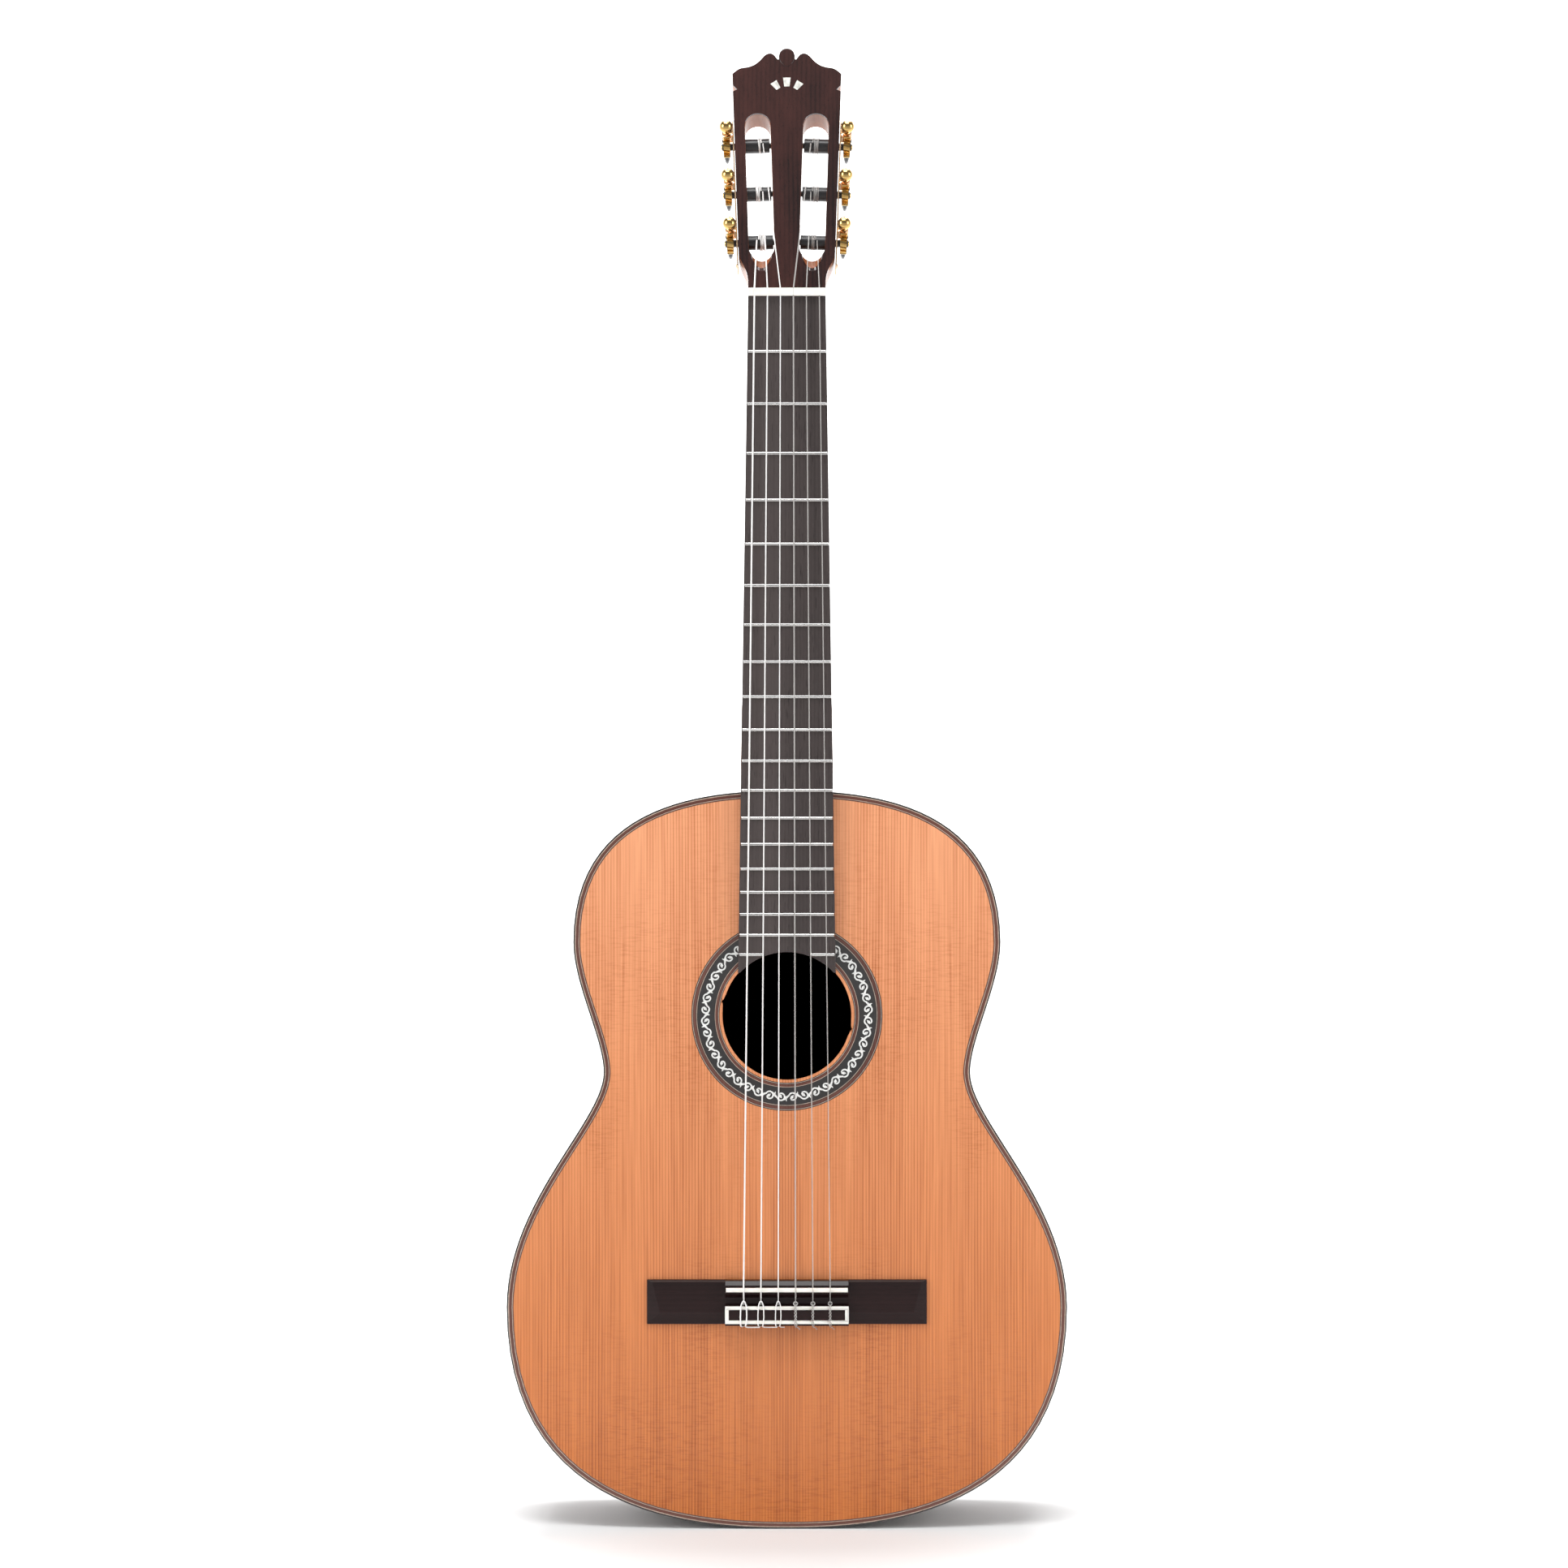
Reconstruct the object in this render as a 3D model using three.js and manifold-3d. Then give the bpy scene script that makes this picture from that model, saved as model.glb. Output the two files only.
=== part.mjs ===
// Classical guitar, standing upright with its strings towards -Y and its treble side towards +X.
// Millimetres. Everything is drawn with y = 0 on the soundboard's face and z = 0 under the tail,
// and the whole instrument is then moved along Y so that it stands centred over the origin.
import * as THREE from 'three';
import { mergeVertices } from 'three/addons/utils/BufferGeometryUtils.js';
import Module from 'manifold-3d';

const wasm = await Module();
wasm.setup();

// Driving dimensions, in millimetres and degrees
const scaleLength = 650;
const bodyLength = 487;
const bodyDepth = 96;
const lowerBout = { half: 185, z: 146 };
const waist = { half: 121, z: 301 };
const upperBout = { half: 141, z: 387 };
const plateThickness = 2.5;
const ribThickness = 2.2;
const bindingDepth = 6;
const soundhole = { z: 338.7, radius: 41.9 };
const rosetteRing = { inner: 44.5, outer: 63, depth: 1 };
const nutWidth = 51;
const boardEnd = { width: 64.3, z: 367 };
const boardThickness = 6.5;
const nutThickness = 5.2;
const fretCount = 19;
const fret = { width: 2.2, height: 1.1 };
const neckThickness = { nut: 16, heel: 18 };
const heelHeight = 58;
const headAngle = 15;
const headThickness = 18.5;
const veneerThickness = 1.5;
const stringRadius = [0.55, 0.45, 0.37, 0.51, 0.41, 0.36];
const stringSpacing = { nut: 8.53, saddle: 11.36 };
const stringHeight = { nut: 8.5, saddle: 13 };
const bridgeSize = { length: 184.4, low: 135.3, high: 164.6, centre: 81.4 };
const saddleZ = 160;
const rollerAlong = [36.4, 71.4, 106.4];
const roller = { radius: 4.75, depth: -8.5 };
const sideAngle = 2.1;
const machineOut = 5.3;
const gearTeeth = 14;
const gearPitchRadius = 6.5;
const wormRadius = 2.7;
const gap = 0.3;

// Places worked out from the driving dimensions
const twelfthFret = scaleLength / 2;
const nutFront = bodyLength + twelfthFret;
const nutBack = nutFront + nutThickness;
const headFoot = nutBack + gap;
const backInside = bodyDepth - plateThickness;
const plateInset = ribThickness + gap;
const rad = THREE.MathUtils.degToRad;

// Colours and finishes
const finishes = {
  cedar: { color: 0xe09a62, roughness: 0.35 },
  rosewood: { color: 0x3e2a2a, roughness: 0.3 },
  ebony: { color: 0x4a4442, roughness: 0.55 },
  mahogany: { color: 0x9a5230, roughness: 0.35 },
  spruce: { color: 0xd9b98a, roughness: 0.7 },
  bone: { color: 0xf1ece0, roughness: 0.4 },
  mosaic: { color: 0x2c211f, roughness: 0.35 },
  gold: { color: 0xd9a441, roughness: 0.25, metalness: 1 },
  blackPlastic: { color: 0x202022, roughness: 0.4 },
  wound: { color: 0xd8d8d8, roughness: 0.3, metalness: 1 },
  nylon: { color: 0xf2efe6, roughness: 0.2 },
};

const guitar = new THREE.Group();

function addPart(name, geometry, finish, parent = guitar) {
  const mesh = new THREE.Mesh(geometry, new THREE.MeshStandardMaterial(finishes[finish]));
  mesh.name = name;
  parent.add(mesh);
  return mesh;
}

// Solid modelling: a closed geometry becomes a solid for joining and cutting, and comes back
function solidOf(geometry) {
  const bare = new THREE.BufferGeometry();
  bare.setAttribute('position', geometry.getAttribute('position'));
  bare.setIndex(geometry.getIndex());
  const merged = mergeVertices(bare, 1e-4);
  const corners = merged.getIndex().array;
  const kept = [];
  for (let i = 0; i < corners.length; i += 3) {
    const [a, b, c] = corners.slice(i, i + 3);
    if (a !== b && b !== c && c !== a) kept.push(a, b, c);
  }
  const vertProperties = new Float32Array(merged.getAttribute('position').array);
  const triVerts = new Uint32Array(kept);
  return new wasm.Manifold(new wasm.Mesh({ numProp: 3, vertProperties, triVerts }));
}

function geometryOf(solid) {
  const { vertProperties, triVerts } = solid.getMesh();
  const geometry = new THREE.BufferGeometry();
  geometry.setAttribute('position', new THREE.BufferAttribute(vertProperties, 3));
  geometry.setIndex(new THREE.BufferAttribute(triVerts, 1));
  return geometry;
}

const join = (solids) => solids.reduce((whole, piece) => whole.add(piece));
const cut = (solid, tools) => tools.reduce((rest, tool) => rest.subtract(tool), solid);

// Moves each vertex of a geometry by a rule
function reshape(geometry, rule) {
  const position = geometry.getAttribute('position');
  const point = new THREE.Vector3();
  for (let i = 0; i < position.count; i += 1) {
    point.fromBufferAttribute(position, i);
    rule(point);
    position.setXYZ(i, point.x, point.y, point.z);
  }
  return geometry;
}

function block(x0, x1, y0, y1, z0, z1) {
  const geometry = new THREE.BoxGeometry(x1 - x0, y1 - y0, z1 - z0);
  return geometry.translate((x0 + x1) / 2, (y0 + y1) / 2, (z0 + z1) / 2);
}

// A shape drawn in X and Z, as thick as y0 to y1
function plate(shape, y0, y1) {
  const options = { depth: y1 - y0, bevelEnabled: false, curveSegments: 20 };
  const geometry = new THREE.ExtrudeGeometry(shape, options);
  return geometry.rotateX(Math.PI / 2).translate(0, y1, 0);
}

// A shape drawn in Y and Z, as wide as x0 to x1
function across(shape, x0, x1) {
  const options = { depth: x1 - x0, bevelEnabled: false, curveSegments: 6 };
  const geometry = new THREE.ExtrudeGeometry(shape, options);
  geometry.applyMatrix4(new THREE.Matrix4().set(0, 0, 1, 0, 1, 0, 0, 0, 0, 1, 0, 0, 0, 0, 0, 1));
  return geometry.translate(x0, 0, 0);
}

function polygon(points) {
  return new THREE.Shape(points.map(([a, b]) => new THREE.Vector2(a, b)));
}

function disc(radius, centreZ) {
  return new THREE.Shape().absarc(0, centreZ, radius, 0, Math.PI * 2, false);
}

// Body outline: four curves from the tail up the treble side, moved inwards by an inset
const outlineCurves = [
  [0, 0, 57, 0, lowerBout.half, 6, lowerBout.half, lowerBout.z],
  [lowerBout.half, lowerBout.z, lowerBout.half, 216, waist.half, 269, waist.half, waist.z],
  [waist.half, waist.z, waist.half, 323, upperBout.half, 359, upperBout.half, upperBout.z],
  [upperBout.half, upperBout.z, upperBout.half, 482, 48, bodyLength, 0, bodyLength],
].map(([ax, az, bx, bz, cx, cz, dx, dz]) => new THREE.CubicBezierCurve(
  new THREE.Vector2(ax, az), new THREE.Vector2(bx, bz),
  new THREE.Vector2(cx, cz), new THREE.Vector2(dx, dz),
));
const stepsPerCurve = 8;

function halfOutline(inset) {
  const points = [];
  outlineCurves.forEach((curve, index) => {
    for (let i = index === 0 ? 0 : 1; i <= stepsPerCurve; i += 1) {
      const point = curve.getPoint(i / stepsPerCurve);
      const along = curve.getTangent(i / stepsPerCurve);
      points.push(new THREE.Vector2(point.x - along.y * inset, point.y + along.x * inset));
    }
  });
  points[0].x = 0;
  points[points.length - 1].x = 0;
  return points;
}

function outline(inset) {
  const half = halfOutline(inset);
  const mirrored = half.slice(1, -1).reverse().map((point) => new THREE.Vector2(-point.x, point.y));
  return [...half, ...mirrored];
}

function halfWidthAt(z, inset) {
  const points = halfOutline(inset);
  const upper = points.findIndex((point) => point.y >= z);
  const [a, b] = [points[upper - 1], points[upper]];
  return a.x + ((b.x - a.x) * (z - a.y)) / (b.y - a.y);
}

function bodyPlate(inset, y0, y1) {
  return plate(new THREE.Shape(outline(inset)), y0, y1);
}

function bodyRing(outerInset, innerInset, y0, y1) {
  const shape = new THREE.Shape(outline(outerInset));
  shape.holes.push(new THREE.Path(outline(innerInset)));
  return plate(shape, y0, y1);
}

// Soundboard, with the soundhole and the channel that the rosette lies in
const soundholeCutter = solidOf(plate(disc(soundhole.radius, soundhole.z), -10, 10));
const channelShape = disc(rosetteRing.outer + gap, soundhole.z);
channelShape.holes.push(disc(rosetteRing.inner - gap, soundhole.z));
const channel = solidOf(plate(channelShape, -10, rosetteRing.depth));
const soundboard = cut(solidOf(bodyPlate(plateInset, 0, plateThickness)), [soundholeCutter, channel]);
addPart('soundboard', geometryOf(soundboard), 'cedar');

const rosetteShape = disc(rosetteRing.outer, soundhole.z);
rosetteShape.holes.push(disc(rosetteRing.inner, soundhole.z));
addPart('rosette', plate(rosetteShape, 0, rosetteRing.depth), 'mosaic');

// Back, ribs and bindings
addPart('back', bodyPlate(plateInset, backInside, bodyDepth), 'rosewood');
addPart('top_binding', bodyRing(0, ribThickness, 0, bindingDepth), 'rosewood');
addPart('back_binding', bodyRing(0, ribThickness, bodyDepth - bindingDepth, bodyDepth), 'rosewood');

// The ribs meet at the tail and run into the neck block's sides at the top
const neckCore = { half: 9, halfFoot: 31, footLow: 455, halfToe: 24, toeLow: 428, toeDepth: 10 };
const ribWall = solidOf(bodyRing(0, ribThickness, bindingDepth, bodyDepth - bindingDepth));
const coreSlot = neckCore.half + gap;
const slotCutter = solidOf(block(-coreSlot, coreSlot, 0, bodyDepth, bodyLength - 40, bodyLength + 10));
for (const [name, side] of [['rib_bass', -1], ['rib_treble', 1]]) {
  const near = side * gap / 2;
  const far = -side * 250;
  const otherHalf = solidOf(block(Math.min(near, far), Math.max(near, far), -10, 110, -10, 500));
  addPart(name, geometryOf(cut(ribWall, [otherHalf, slotCutter])), 'rosewood');
}

// Linings, cut away round the neck's foot; the tail block stands between them
const liningWidth = 5.5;
const liningDepth = 13.5;
const liningInner = plateInset + liningWidth;
const tailBlock = { half: 35, z: 20 };
const footHalf = neckCore.halfFoot + gap;
const footRoom = solidOf(block(-footHalf, footHalf, 0, bodyDepth, neckCore.toeLow - gap, bodyLength + 5));
const topLining = solidOf(bodyRing(plateInset, liningInner, plateThickness, plateThickness + liningDepth));
const backLining = solidOf(bodyRing(plateInset, liningInner, backInside - liningDepth, backInside));
addPart('top_lining', geometryOf(topLining.subtract(footRoom)), 'spruce');
addPart('back_lining', geometryOf(backLining.subtract(footRoom)), 'spruce');

const tailShape = bodyPlate(plateInset, plateThickness + liningDepth, backInside - liningDepth);
const tailBox = block(-tailBlock.half, tailBlock.half, 0, bodyDepth, -5, tailBlock.z);
addPart('tail_block', geometryOf(solidOf(tailShape).intersect(solidOf(tailBox))), 'mahogany');

// Bars across the soundboard and the back, scooped down to thin ends
const crossBars = { width: 7, topTall: 15, backTall: 14, scoop: 35, endShare: 0.3, fromHole: 26 };
function crossBar(z, y0, tall) {
  const { width, scoop } = crossBars;
  const ends = [z - width / 2, z + width / 2];
  const reach = Math.min(...ends.map((end) => halfWidthAt(end, liningInner + gap)));
  const thin = y0 + tall * crossBars.endShare;
  const full = y0 + tall;
  const shape = polygon([
    [-reach, y0], [reach, y0], [reach, thin],
    [reach - scoop, full], [-reach + scoop, full], [-reach, thin],
  ]);
  const geometry = new THREE.ExtrudeGeometry(shape, { depth: width, bevelEnabled: false });
  return geometry.translate(0, 0, z - width / 2);
}

const barReach = soundhole.radius + crossBars.fromHole;
for (const [name, towards] of [['upper_harmonic_bar', 1], ['lower_harmonic_bar', -1]]) {
  const bar = crossBar(soundhole.z + towards * barReach, plateThickness, crossBars.topTall);
  addPart(name, bar, 'spruce');
}
const backBraces = { upper_back_brace: 396, middle_back_brace: 262, lower_back_brace: 110 };
for (const [name, z] of Object.entries(backBraces)) {
  addPart(name, crossBar(z, backInside, -crossBars.backTall), 'spruce');
}

// Five fan braces under the lower bout
const fan = { low: 52, high: 258, spreadHigh: 22, spreadLow: 42, width: 5, tall: 6, lift: 9 };
for (let i = 0; i < 5; i += 1) {
  const place = i - 2;
  const lift = Math.abs(place) * fan.lift;
  const high = place * fan.spreadHigh;
  const low = place * fan.spreadLow;
  const half = fan.width / 2;
  const shape = polygon([
    [low - half, fan.low + lift], [low + half, fan.low + lift],
    [high + half, fan.high], [high - half, fan.high],
  ]);
  addPart(`fan_brace_${i + 1}`, plate(shape, plateThickness, plateThickness + fan.tall), 'spruce');
}

// Head frame: x across, y up along the head's face, z out of it towards the player's side
const headFrame = new THREE.Matrix4().makeRotationX(rad(90 - headAngle)).setPosition(0, 0, headFoot);
const head = new THREE.Group();
head.applyMatrix4(headFrame);
guitar.add(head);

// Half of the head's outline, from the nut up the treble side to the tip of the crest
function headOutline(low) {
  const half = nutWidth / 2;
  const edge = new THREE.Path();
  edge.moveTo(half, low);
  edge.lineTo(half, 4);
  edge.bezierCurveTo(half, 14, 31, 18, 32, 27);
  edge.lineTo(36.2, 142.3);
  edge.lineTo(33.3, 143.7);
  edge.lineTo(36.2, 147);
  edge.lineTo(36.6, 155);
  edge.quadraticCurveTo(32.5, 159.4, 29.5, 159.5);
  edge.bezierCurveTo(17, 160.5, 17, 170.2, 11.4, 170.2);
  edge.bezierCurveTo(8.5, 170.2, 7.5, 167, 6.1, 165.7);
  edge.lineTo(5.2, 166);
  edge.bezierCurveTo(5.6, 171, 3.5, 174, 0, 174);
  const right = edge.getPoints(5);
  const left = right.slice(0, -1).reverse().map((point) => new THREE.Vector2(-point.x, point.y));
  return new THREE.Shape([...right, ...left]);
}

function headPlate(low, z0, z1) {
  const geometry = new THREE.ExtrudeGeometry(headOutline(low), { depth: z1 - z0, bevelEnabled: false });
  return geometry.translate(0, 0, z0);
}

// The two string slots, with a scoop at the foot of each that lets the strings down to the rollers
const slot = { foot: 22, top: 126, half: 8.7, footX: 16.7, topX: 19.5 };
const slotScoop = { radius: 7, length: 40, angle: 28, foot: 15 };
const slotTools = [];
for (const side of [-1, 1]) {
  const points = [[slot.footX - slot.half, slot.foot], [slot.footX + slot.half, slot.foot]];
  for (let i = 0; i <= 6; i += 1) {
    const turn = (Math.PI * i) / 6;
    const centre = slot.top - slot.half;
    points.push([slot.topX + slot.half * Math.cos(turn), centre + slot.half * Math.sin(turn)]);
  }
  const mirrored = side === 1 ? points : points.map(([x, y]) => [-x, y]).reverse();
  const opening = new THREE.ExtrudeGeometry(polygon(mirrored), { depth: 60, bevelEnabled: false });
  slotTools.push(solidOf(opening.translate(0, 0, -40)));
  const { radius, length } = slotScoop;
  const scoop = new THREE.CylinderGeometry(radius, radius, length, 10).translate(0, length / 2, 0);
  scoop.rotateX(-rad(slotScoop.angle));
  scoop.translate(side * slot.footX, slotScoop.foot, radius + veneerThickness - 1);
  slotTools.push(solidOf(scoop));
}

// Machine frame on each side of the head: y along the side, x outwards on the treble side
function machineFrame(side) {
  const footX = 32 - (27 * (36.2 - 32)) / (142.3 - 27);
  const turn = new THREE.Matrix4().makeRotationZ(-side * rad(sideAngle));
  return turn.setPosition(side * footX, 0, 0);
}

function rollerBore(side, along, radius, from, to) {
  const bore = new THREE.CylinderGeometry(radius, radius, to - from, 12).rotateZ(Math.PI / 2);
  bore.translate(side * (from + to) / 2, along, roller.depth);
  return solidOf(bore.applyMatrix4(machineFrame(side)));
}

const pinReach = -27;
const pinRadius = 2;
const bores = [];
for (const side of [-1, 1]) {
  for (const along of rollerAlong) {
    bores.push(rollerBore(side, along, roller.radius + gap, -12, 3));
    bores.push(rollerBore(side, along, pinRadius + gap, pinReach - 1, -15));
  }
}

// Neck: shaft, heel, the block that grips the ribs inside the body, and the slotted head
const rootWidth = THREE.MathUtils.mapLinear(bodyLength, boardEnd.z, nutFront, boardEnd.width, nutWidth);
function neckShaft() {
  const section = new THREE.Shape();
  section.moveTo(1, 0);
  for (let i = 1; i < 12; i += 1) {
    const turn = (Math.PI * i) / 12;
    section.lineTo(Math.sign(Math.cos(turn)) * Math.abs(Math.cos(turn)) ** 0.8, Math.sin(turn) ** 0.8);
  }
  section.lineTo(-1, 0);
  const low = bodyLength + gap;
  const geometry = new THREE.ExtrudeGeometry(section, { depth: headFoot - low, bevelEnabled: false });
  return reshape(geometry, (point) => {
    const share = point.z / (headFoot - low);
    point.x *= THREE.MathUtils.lerp(rootWidth, nutWidth, share) / 2;
    point.y *= THREE.MathUtils.lerp(neckThickness.heel, neckThickness.nut, share);
    point.z += low;
  });
}

const capThickness = 3;
const heelCap = { half: 13, height: 20 };
const heelDepth = bodyDepth - capThickness;
function heelBlock() {
  const low = bodyLength + gap;
  const profile = new THREE.Shape();
  profile.moveTo(0, low);
  profile.lineTo(heelDepth, low);
  profile.lineTo(heelDepth, low + heelCap.height);
  profile.bezierCurveTo(60, low + 24, 26, low + 34, neckThickness.heel - 1, low + heelHeight);
  profile.lineTo(0, low + heelHeight);
  return reshape(across(profile, -1, 1), (point) => {
    point.x *= THREE.MathUtils.lerp(rootWidth / 2 - 1.5, heelCap.half, point.y / heelDepth);
  });
}

const headCore = headPlate(-12, -headThickness, 0).applyMatrix4(headFrame);
const faceTrim = block(-60, 60, -30, 0, nutFront - 60, headFoot);
const insideFoot = block(
  -neckCore.halfFoot, neckCore.halfFoot, plateThickness, backInside,
  neckCore.footLow, bodyLength - plateInset - 1.5,
);
const toe = block(
  -neckCore.halfToe, neckCore.halfToe, backInside - neckCore.toeDepth, backInside,
  neckCore.toeLow, neckCore.footLow + 1,
);
const core = block(
  -neckCore.half, neckCore.half, bindingDepth + gap, bodyDepth - bindingDepth - gap,
  bodyLength - 10, bodyLength + 5,
);
const headCuts = [...slotTools, ...bores].map((tool) => tool.transform(headFrame.elements));
const headSolid = cut(solidOf(headCore), [...headCuts, solidOf(faceTrim)]);
const neck = join([neckShaft(), heelBlock(), insideFoot, toe, core].map(solidOf)).add(headSolid);
addPart('neck', geometryOf(neck), 'mahogany');

const capShape = polygon([
  [-heelCap.half, bodyLength + gap], [heelCap.half, bodyLength + gap],
  [heelCap.half - 1, bodyLength + gap + 12], [heelCap.half - 5, bodyLength + gap + heelCap.height - 1],
  [-heelCap.half + 5, bodyLength + gap + heelCap.height - 1], [-heelCap.half + 1, bodyLength + gap + 12],
]);
addPart('heel_cap', plate(capShape, heelDepth, bodyDepth), 'rosewood');

const veneer = cut(solidOf(headPlate(0.5, gap, veneerThickness)), slotTools);
addPart('head_veneer', geometryOf(veneer), 'rosewood', head);

// Fingerboard with its frets, trimmed round the soundhole
const boardWidthAt = (z) => THREE.MathUtils.mapLinear(z, boardEnd.z, nutFront, boardEnd.width, nutWidth);
const boardShape = polygon([
  [-boardEnd.width / 2, boardEnd.z], [boardEnd.width / 2, boardEnd.z],
  [nutWidth / 2, nutFront], [-nutWidth / 2, nutFront],
]);
const frets = [];
for (let n = 1; n <= fretCount; n += 1) {
  const z = nutFront - scaleLength * (1 - 2 ** (-n / 12));
  const half = boardWidthAt(z) / 2 - 0.2;
  const crown = polygon([
    [-boardThickness + 0.5, z - fret.width / 2], [-boardThickness + 0.5, z + fret.width / 2],
    [-boardThickness, z + fret.width / 2], [-boardThickness - fret.height, z + fret.width / 5],
    [-boardThickness - fret.height, z - fret.width / 5], [-boardThickness, z - fret.width / 2],
  ].reverse());
  frets.push(solidOf(across(crown, -half, half)));
}
const board = solidOf(plate(boardShape, -boardThickness, 0));
addPart('fretboard', geometryOf(join([board, ...frets]).subtract(soundholeCutter)), 'ebony');

const saddleSize = { half: 40, thickness: 2.8, top: stringHeight.saddle - 1.1 };
const saddleHigh = saddleZ + 0.4;
const saddleLow = saddleHigh - saddleSize.thickness;

// Strings run from the tie block over the saddle and the nut to the top of each roller's far end
const rollerOfString = [0, 1, 2, 2, 1, 0];
const windingX = [-20, -16, -16, 16, 16, 20];
const bridgeHeights = { wing: 4, wingEdge: 1.5, bevel: 7.8, block: 9, channel: 4, hole: 5.5 };
const tieBlockHigh = 148.5;
const holeRadius = 1;
const stringX = (n, spacing) => (n - 2.5) * spacing;

function stringPath(n) {
  const radius = stringRadius[n];
  const xSaddle = stringX(n, stringSpacing.saddle);
  const xNut = stringX(n, stringSpacing.nut);
  const rollerTop = roller.depth + roller.radius + gap + radius;
  const onRoller = new THREE.Vector3(windingX[n], rollerAlong[rollerOfString[n]], rollerTop);
  onRoller.applyMatrix4(headFrame);
  return [
    new THREE.Vector3(xSaddle, -bridgeHeights.hole, bridgeSize.low + 2),
    new THREE.Vector3(xSaddle, -bridgeHeights.hole, tieBlockHigh + 0.5),
    new THREE.Vector3(xSaddle, -stringHeight.saddle, saddleLow - 0.6),
    new THREE.Vector3(xNut, -stringHeight.nut, nutFront),
    new THREE.Vector3(xNut, -stringHeight.nut + 0.3, nutBack),
    onRoller,
  ];
}

// A thin tube through points that all lie close to one upright plane, mitred at each bend
function bentTube(points, radius, sides) {
  const last = points.length - 1;
  const sideways = new THREE.Vector3(1, 0, 0);
  const geometry = new THREE.CylinderGeometry(radius, radius, 1, sides, last);
  return reshape(geometry, (corner) => {
    const ring = Math.round((0.5 - corner.y) * last);
    const before = points[ring].clone().sub(points[Math.max(ring - 1, 0)]).normalize();
    const after = points[Math.min(ring + 1, last)].clone().sub(points[ring]).normalize();
    const along = before.clone().add(after).normalize();
    const mitre = 1 / along.dot(ring > 0 ? before : after);
    const front = new THREE.Vector3().crossVectors(sideways, along).normalize();
    const { x, z } = corner;
    corner.copy(points[ring]).addScaledVector(sideways, -x).addScaledVector(front, z * mitre);
  });
}

for (let n = 0; n < 6; n += 1) {
  addPart(`string_${6 - n}`, bentTube(stringPath(n), stringRadius[n], 6), n < 3 ? 'wound' : 'nylon');
}

// Nut and saddle
const nutHeight = stringHeight.nut + 0.5;
const nutCuts = [];
for (let n = 0; n < 6; n += 1) {
  const x = stringX(n, stringSpacing.nut);
  const room = stringRadius[n] + gap;
  const floor = -stringHeight.nut + room;
  nutCuts.push(solidOf(block(x - room, x + room, -12, floor, nutFront - 1, nutBack + 1)));
}
const nutBlank = solidOf(block(-nutWidth / 2, nutWidth / 2, -nutHeight, 0, nutFront, nutBack));
addPart('nut', geometryOf(cut(nutBlank, nutCuts)), 'bone');

const saddleFloor = 3;
const saddleHalf = saddleSize.half;
const saddle = block(-saddleHalf, saddleHalf, -saddleSize.top, -saddleFloor, saddleLow, saddleHigh);
addPart('saddle', saddle, 'bone');

// Bridge: saddle ridge, channel and drilled tie block in the middle, thin wings outside
const ridge = polygon([
  [0, bridgeSize.low], [0, bridgeSize.high], [-6, bridgeSize.high], [-bridgeHeights.block, saddleHigh + 1],
  [-bridgeHeights.block, saddleLow - 1.5], [-bridgeHeights.channel, saddleLow - 4],
  [-bridgeHeights.channel, tieBlockHigh], [-bridgeHeights.block, tieBlockHigh],
  [-bridgeHeights.block, bridgeSize.low],
]);
const wing = polygon([
  [0, bridgeSize.low], [0, bridgeSize.high], [-bridgeHeights.wing + 1, bridgeSize.high],
  [-bridgeHeights.wing, bridgeSize.high - 3], [-bridgeHeights.wing, bridgeSize.low + bridgeHeights.bevel],
  [-bridgeHeights.wingEdge, bridgeSize.low],
]);
const halfBridge = bridgeSize.length / 2;
const bridgeTools = [];
for (let n = 0; n < 6; n += 1) {
  const hole = new THREE.CylinderGeometry(holeRadius, holeRadius, 16, 8).rotateX(Math.PI / 2);
  hole.translate(stringX(n, stringSpacing.saddle), -bridgeHeights.hole, tieBlockHigh - 7);
  bridgeTools.push(solidOf(hole));
}
const saddleSlot = block(
  -saddleHalf - gap, saddleHalf + gap, -20, -saddleFloor, saddleLow - gap, saddleHigh + gap,
);
bridgeTools.push(solidOf(saddleSlot));
const bridgeBody = join([
  solidOf(across(ridge, -bridgeSize.centre / 2, bridgeSize.centre / 2)),
  solidOf(across(wing, -halfBridge, halfBridge)),
]);
addPart('bridge', geometryOf(cut(bridgeBody, bridgeTools)), 'rosewood');

const inlay = { half: 40.5, low: 136.6, high: 148.2, strip: 2.3, thickness: 0.8 };
function inlayRectangle(inset) {
  const half = inlay.half - inset;
  const [low, high] = [inlay.low + inset, inlay.high - inset];
  return polygon([[-half, low], [half, low], [half, high], [-half, high]]);
}
const inlayShape = inlayRectangle(0);
inlayShape.holes.push(inlayRectangle(inlay.strip));
const inlayFront = -bridgeHeights.block - inlay.thickness;
addPart('tie_block_inlay', plate(inlayShape, inlayFront, -bridgeHeights.block), 'bone');

// Machine heads: on each side a plate with lugs, and for each string a worm on the knob's shaft
// that turns a gear on the roller's end
const wormOffset = gearPitchRadius + wormRadius;
const wormPitch = (2 * Math.PI * gearPitchRadius) / gearTeeth;
const thread = { radius: 0.72, centre: 2.4, core: 1.95, reach: 5.2, turns: 3, stepsPerTurn: 9 };
const lug = { half: 3.2, reach: 8.6, thickness: 2, away: 7 };
const shaftRadius = 1.5;
const endPinRadius = 2.5;
const collar = { radius: 3, thickness: 2 };
const ball = { radius: 4.4, squash: 0.9 };
const sidePlate = { low: 14, high: 128, deep: -15.5, shallow: -1.5, thickness: 1 };
const gearWidth = 4.4;

function rod(radius, from, to, sides) {
  const geometry = new THREE.CylinderGeometry(radius, radius, to - from, sides).rotateX(Math.PI / 2);
  return geometry.translate(0, 0, (from + to) / 2);
}

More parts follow.
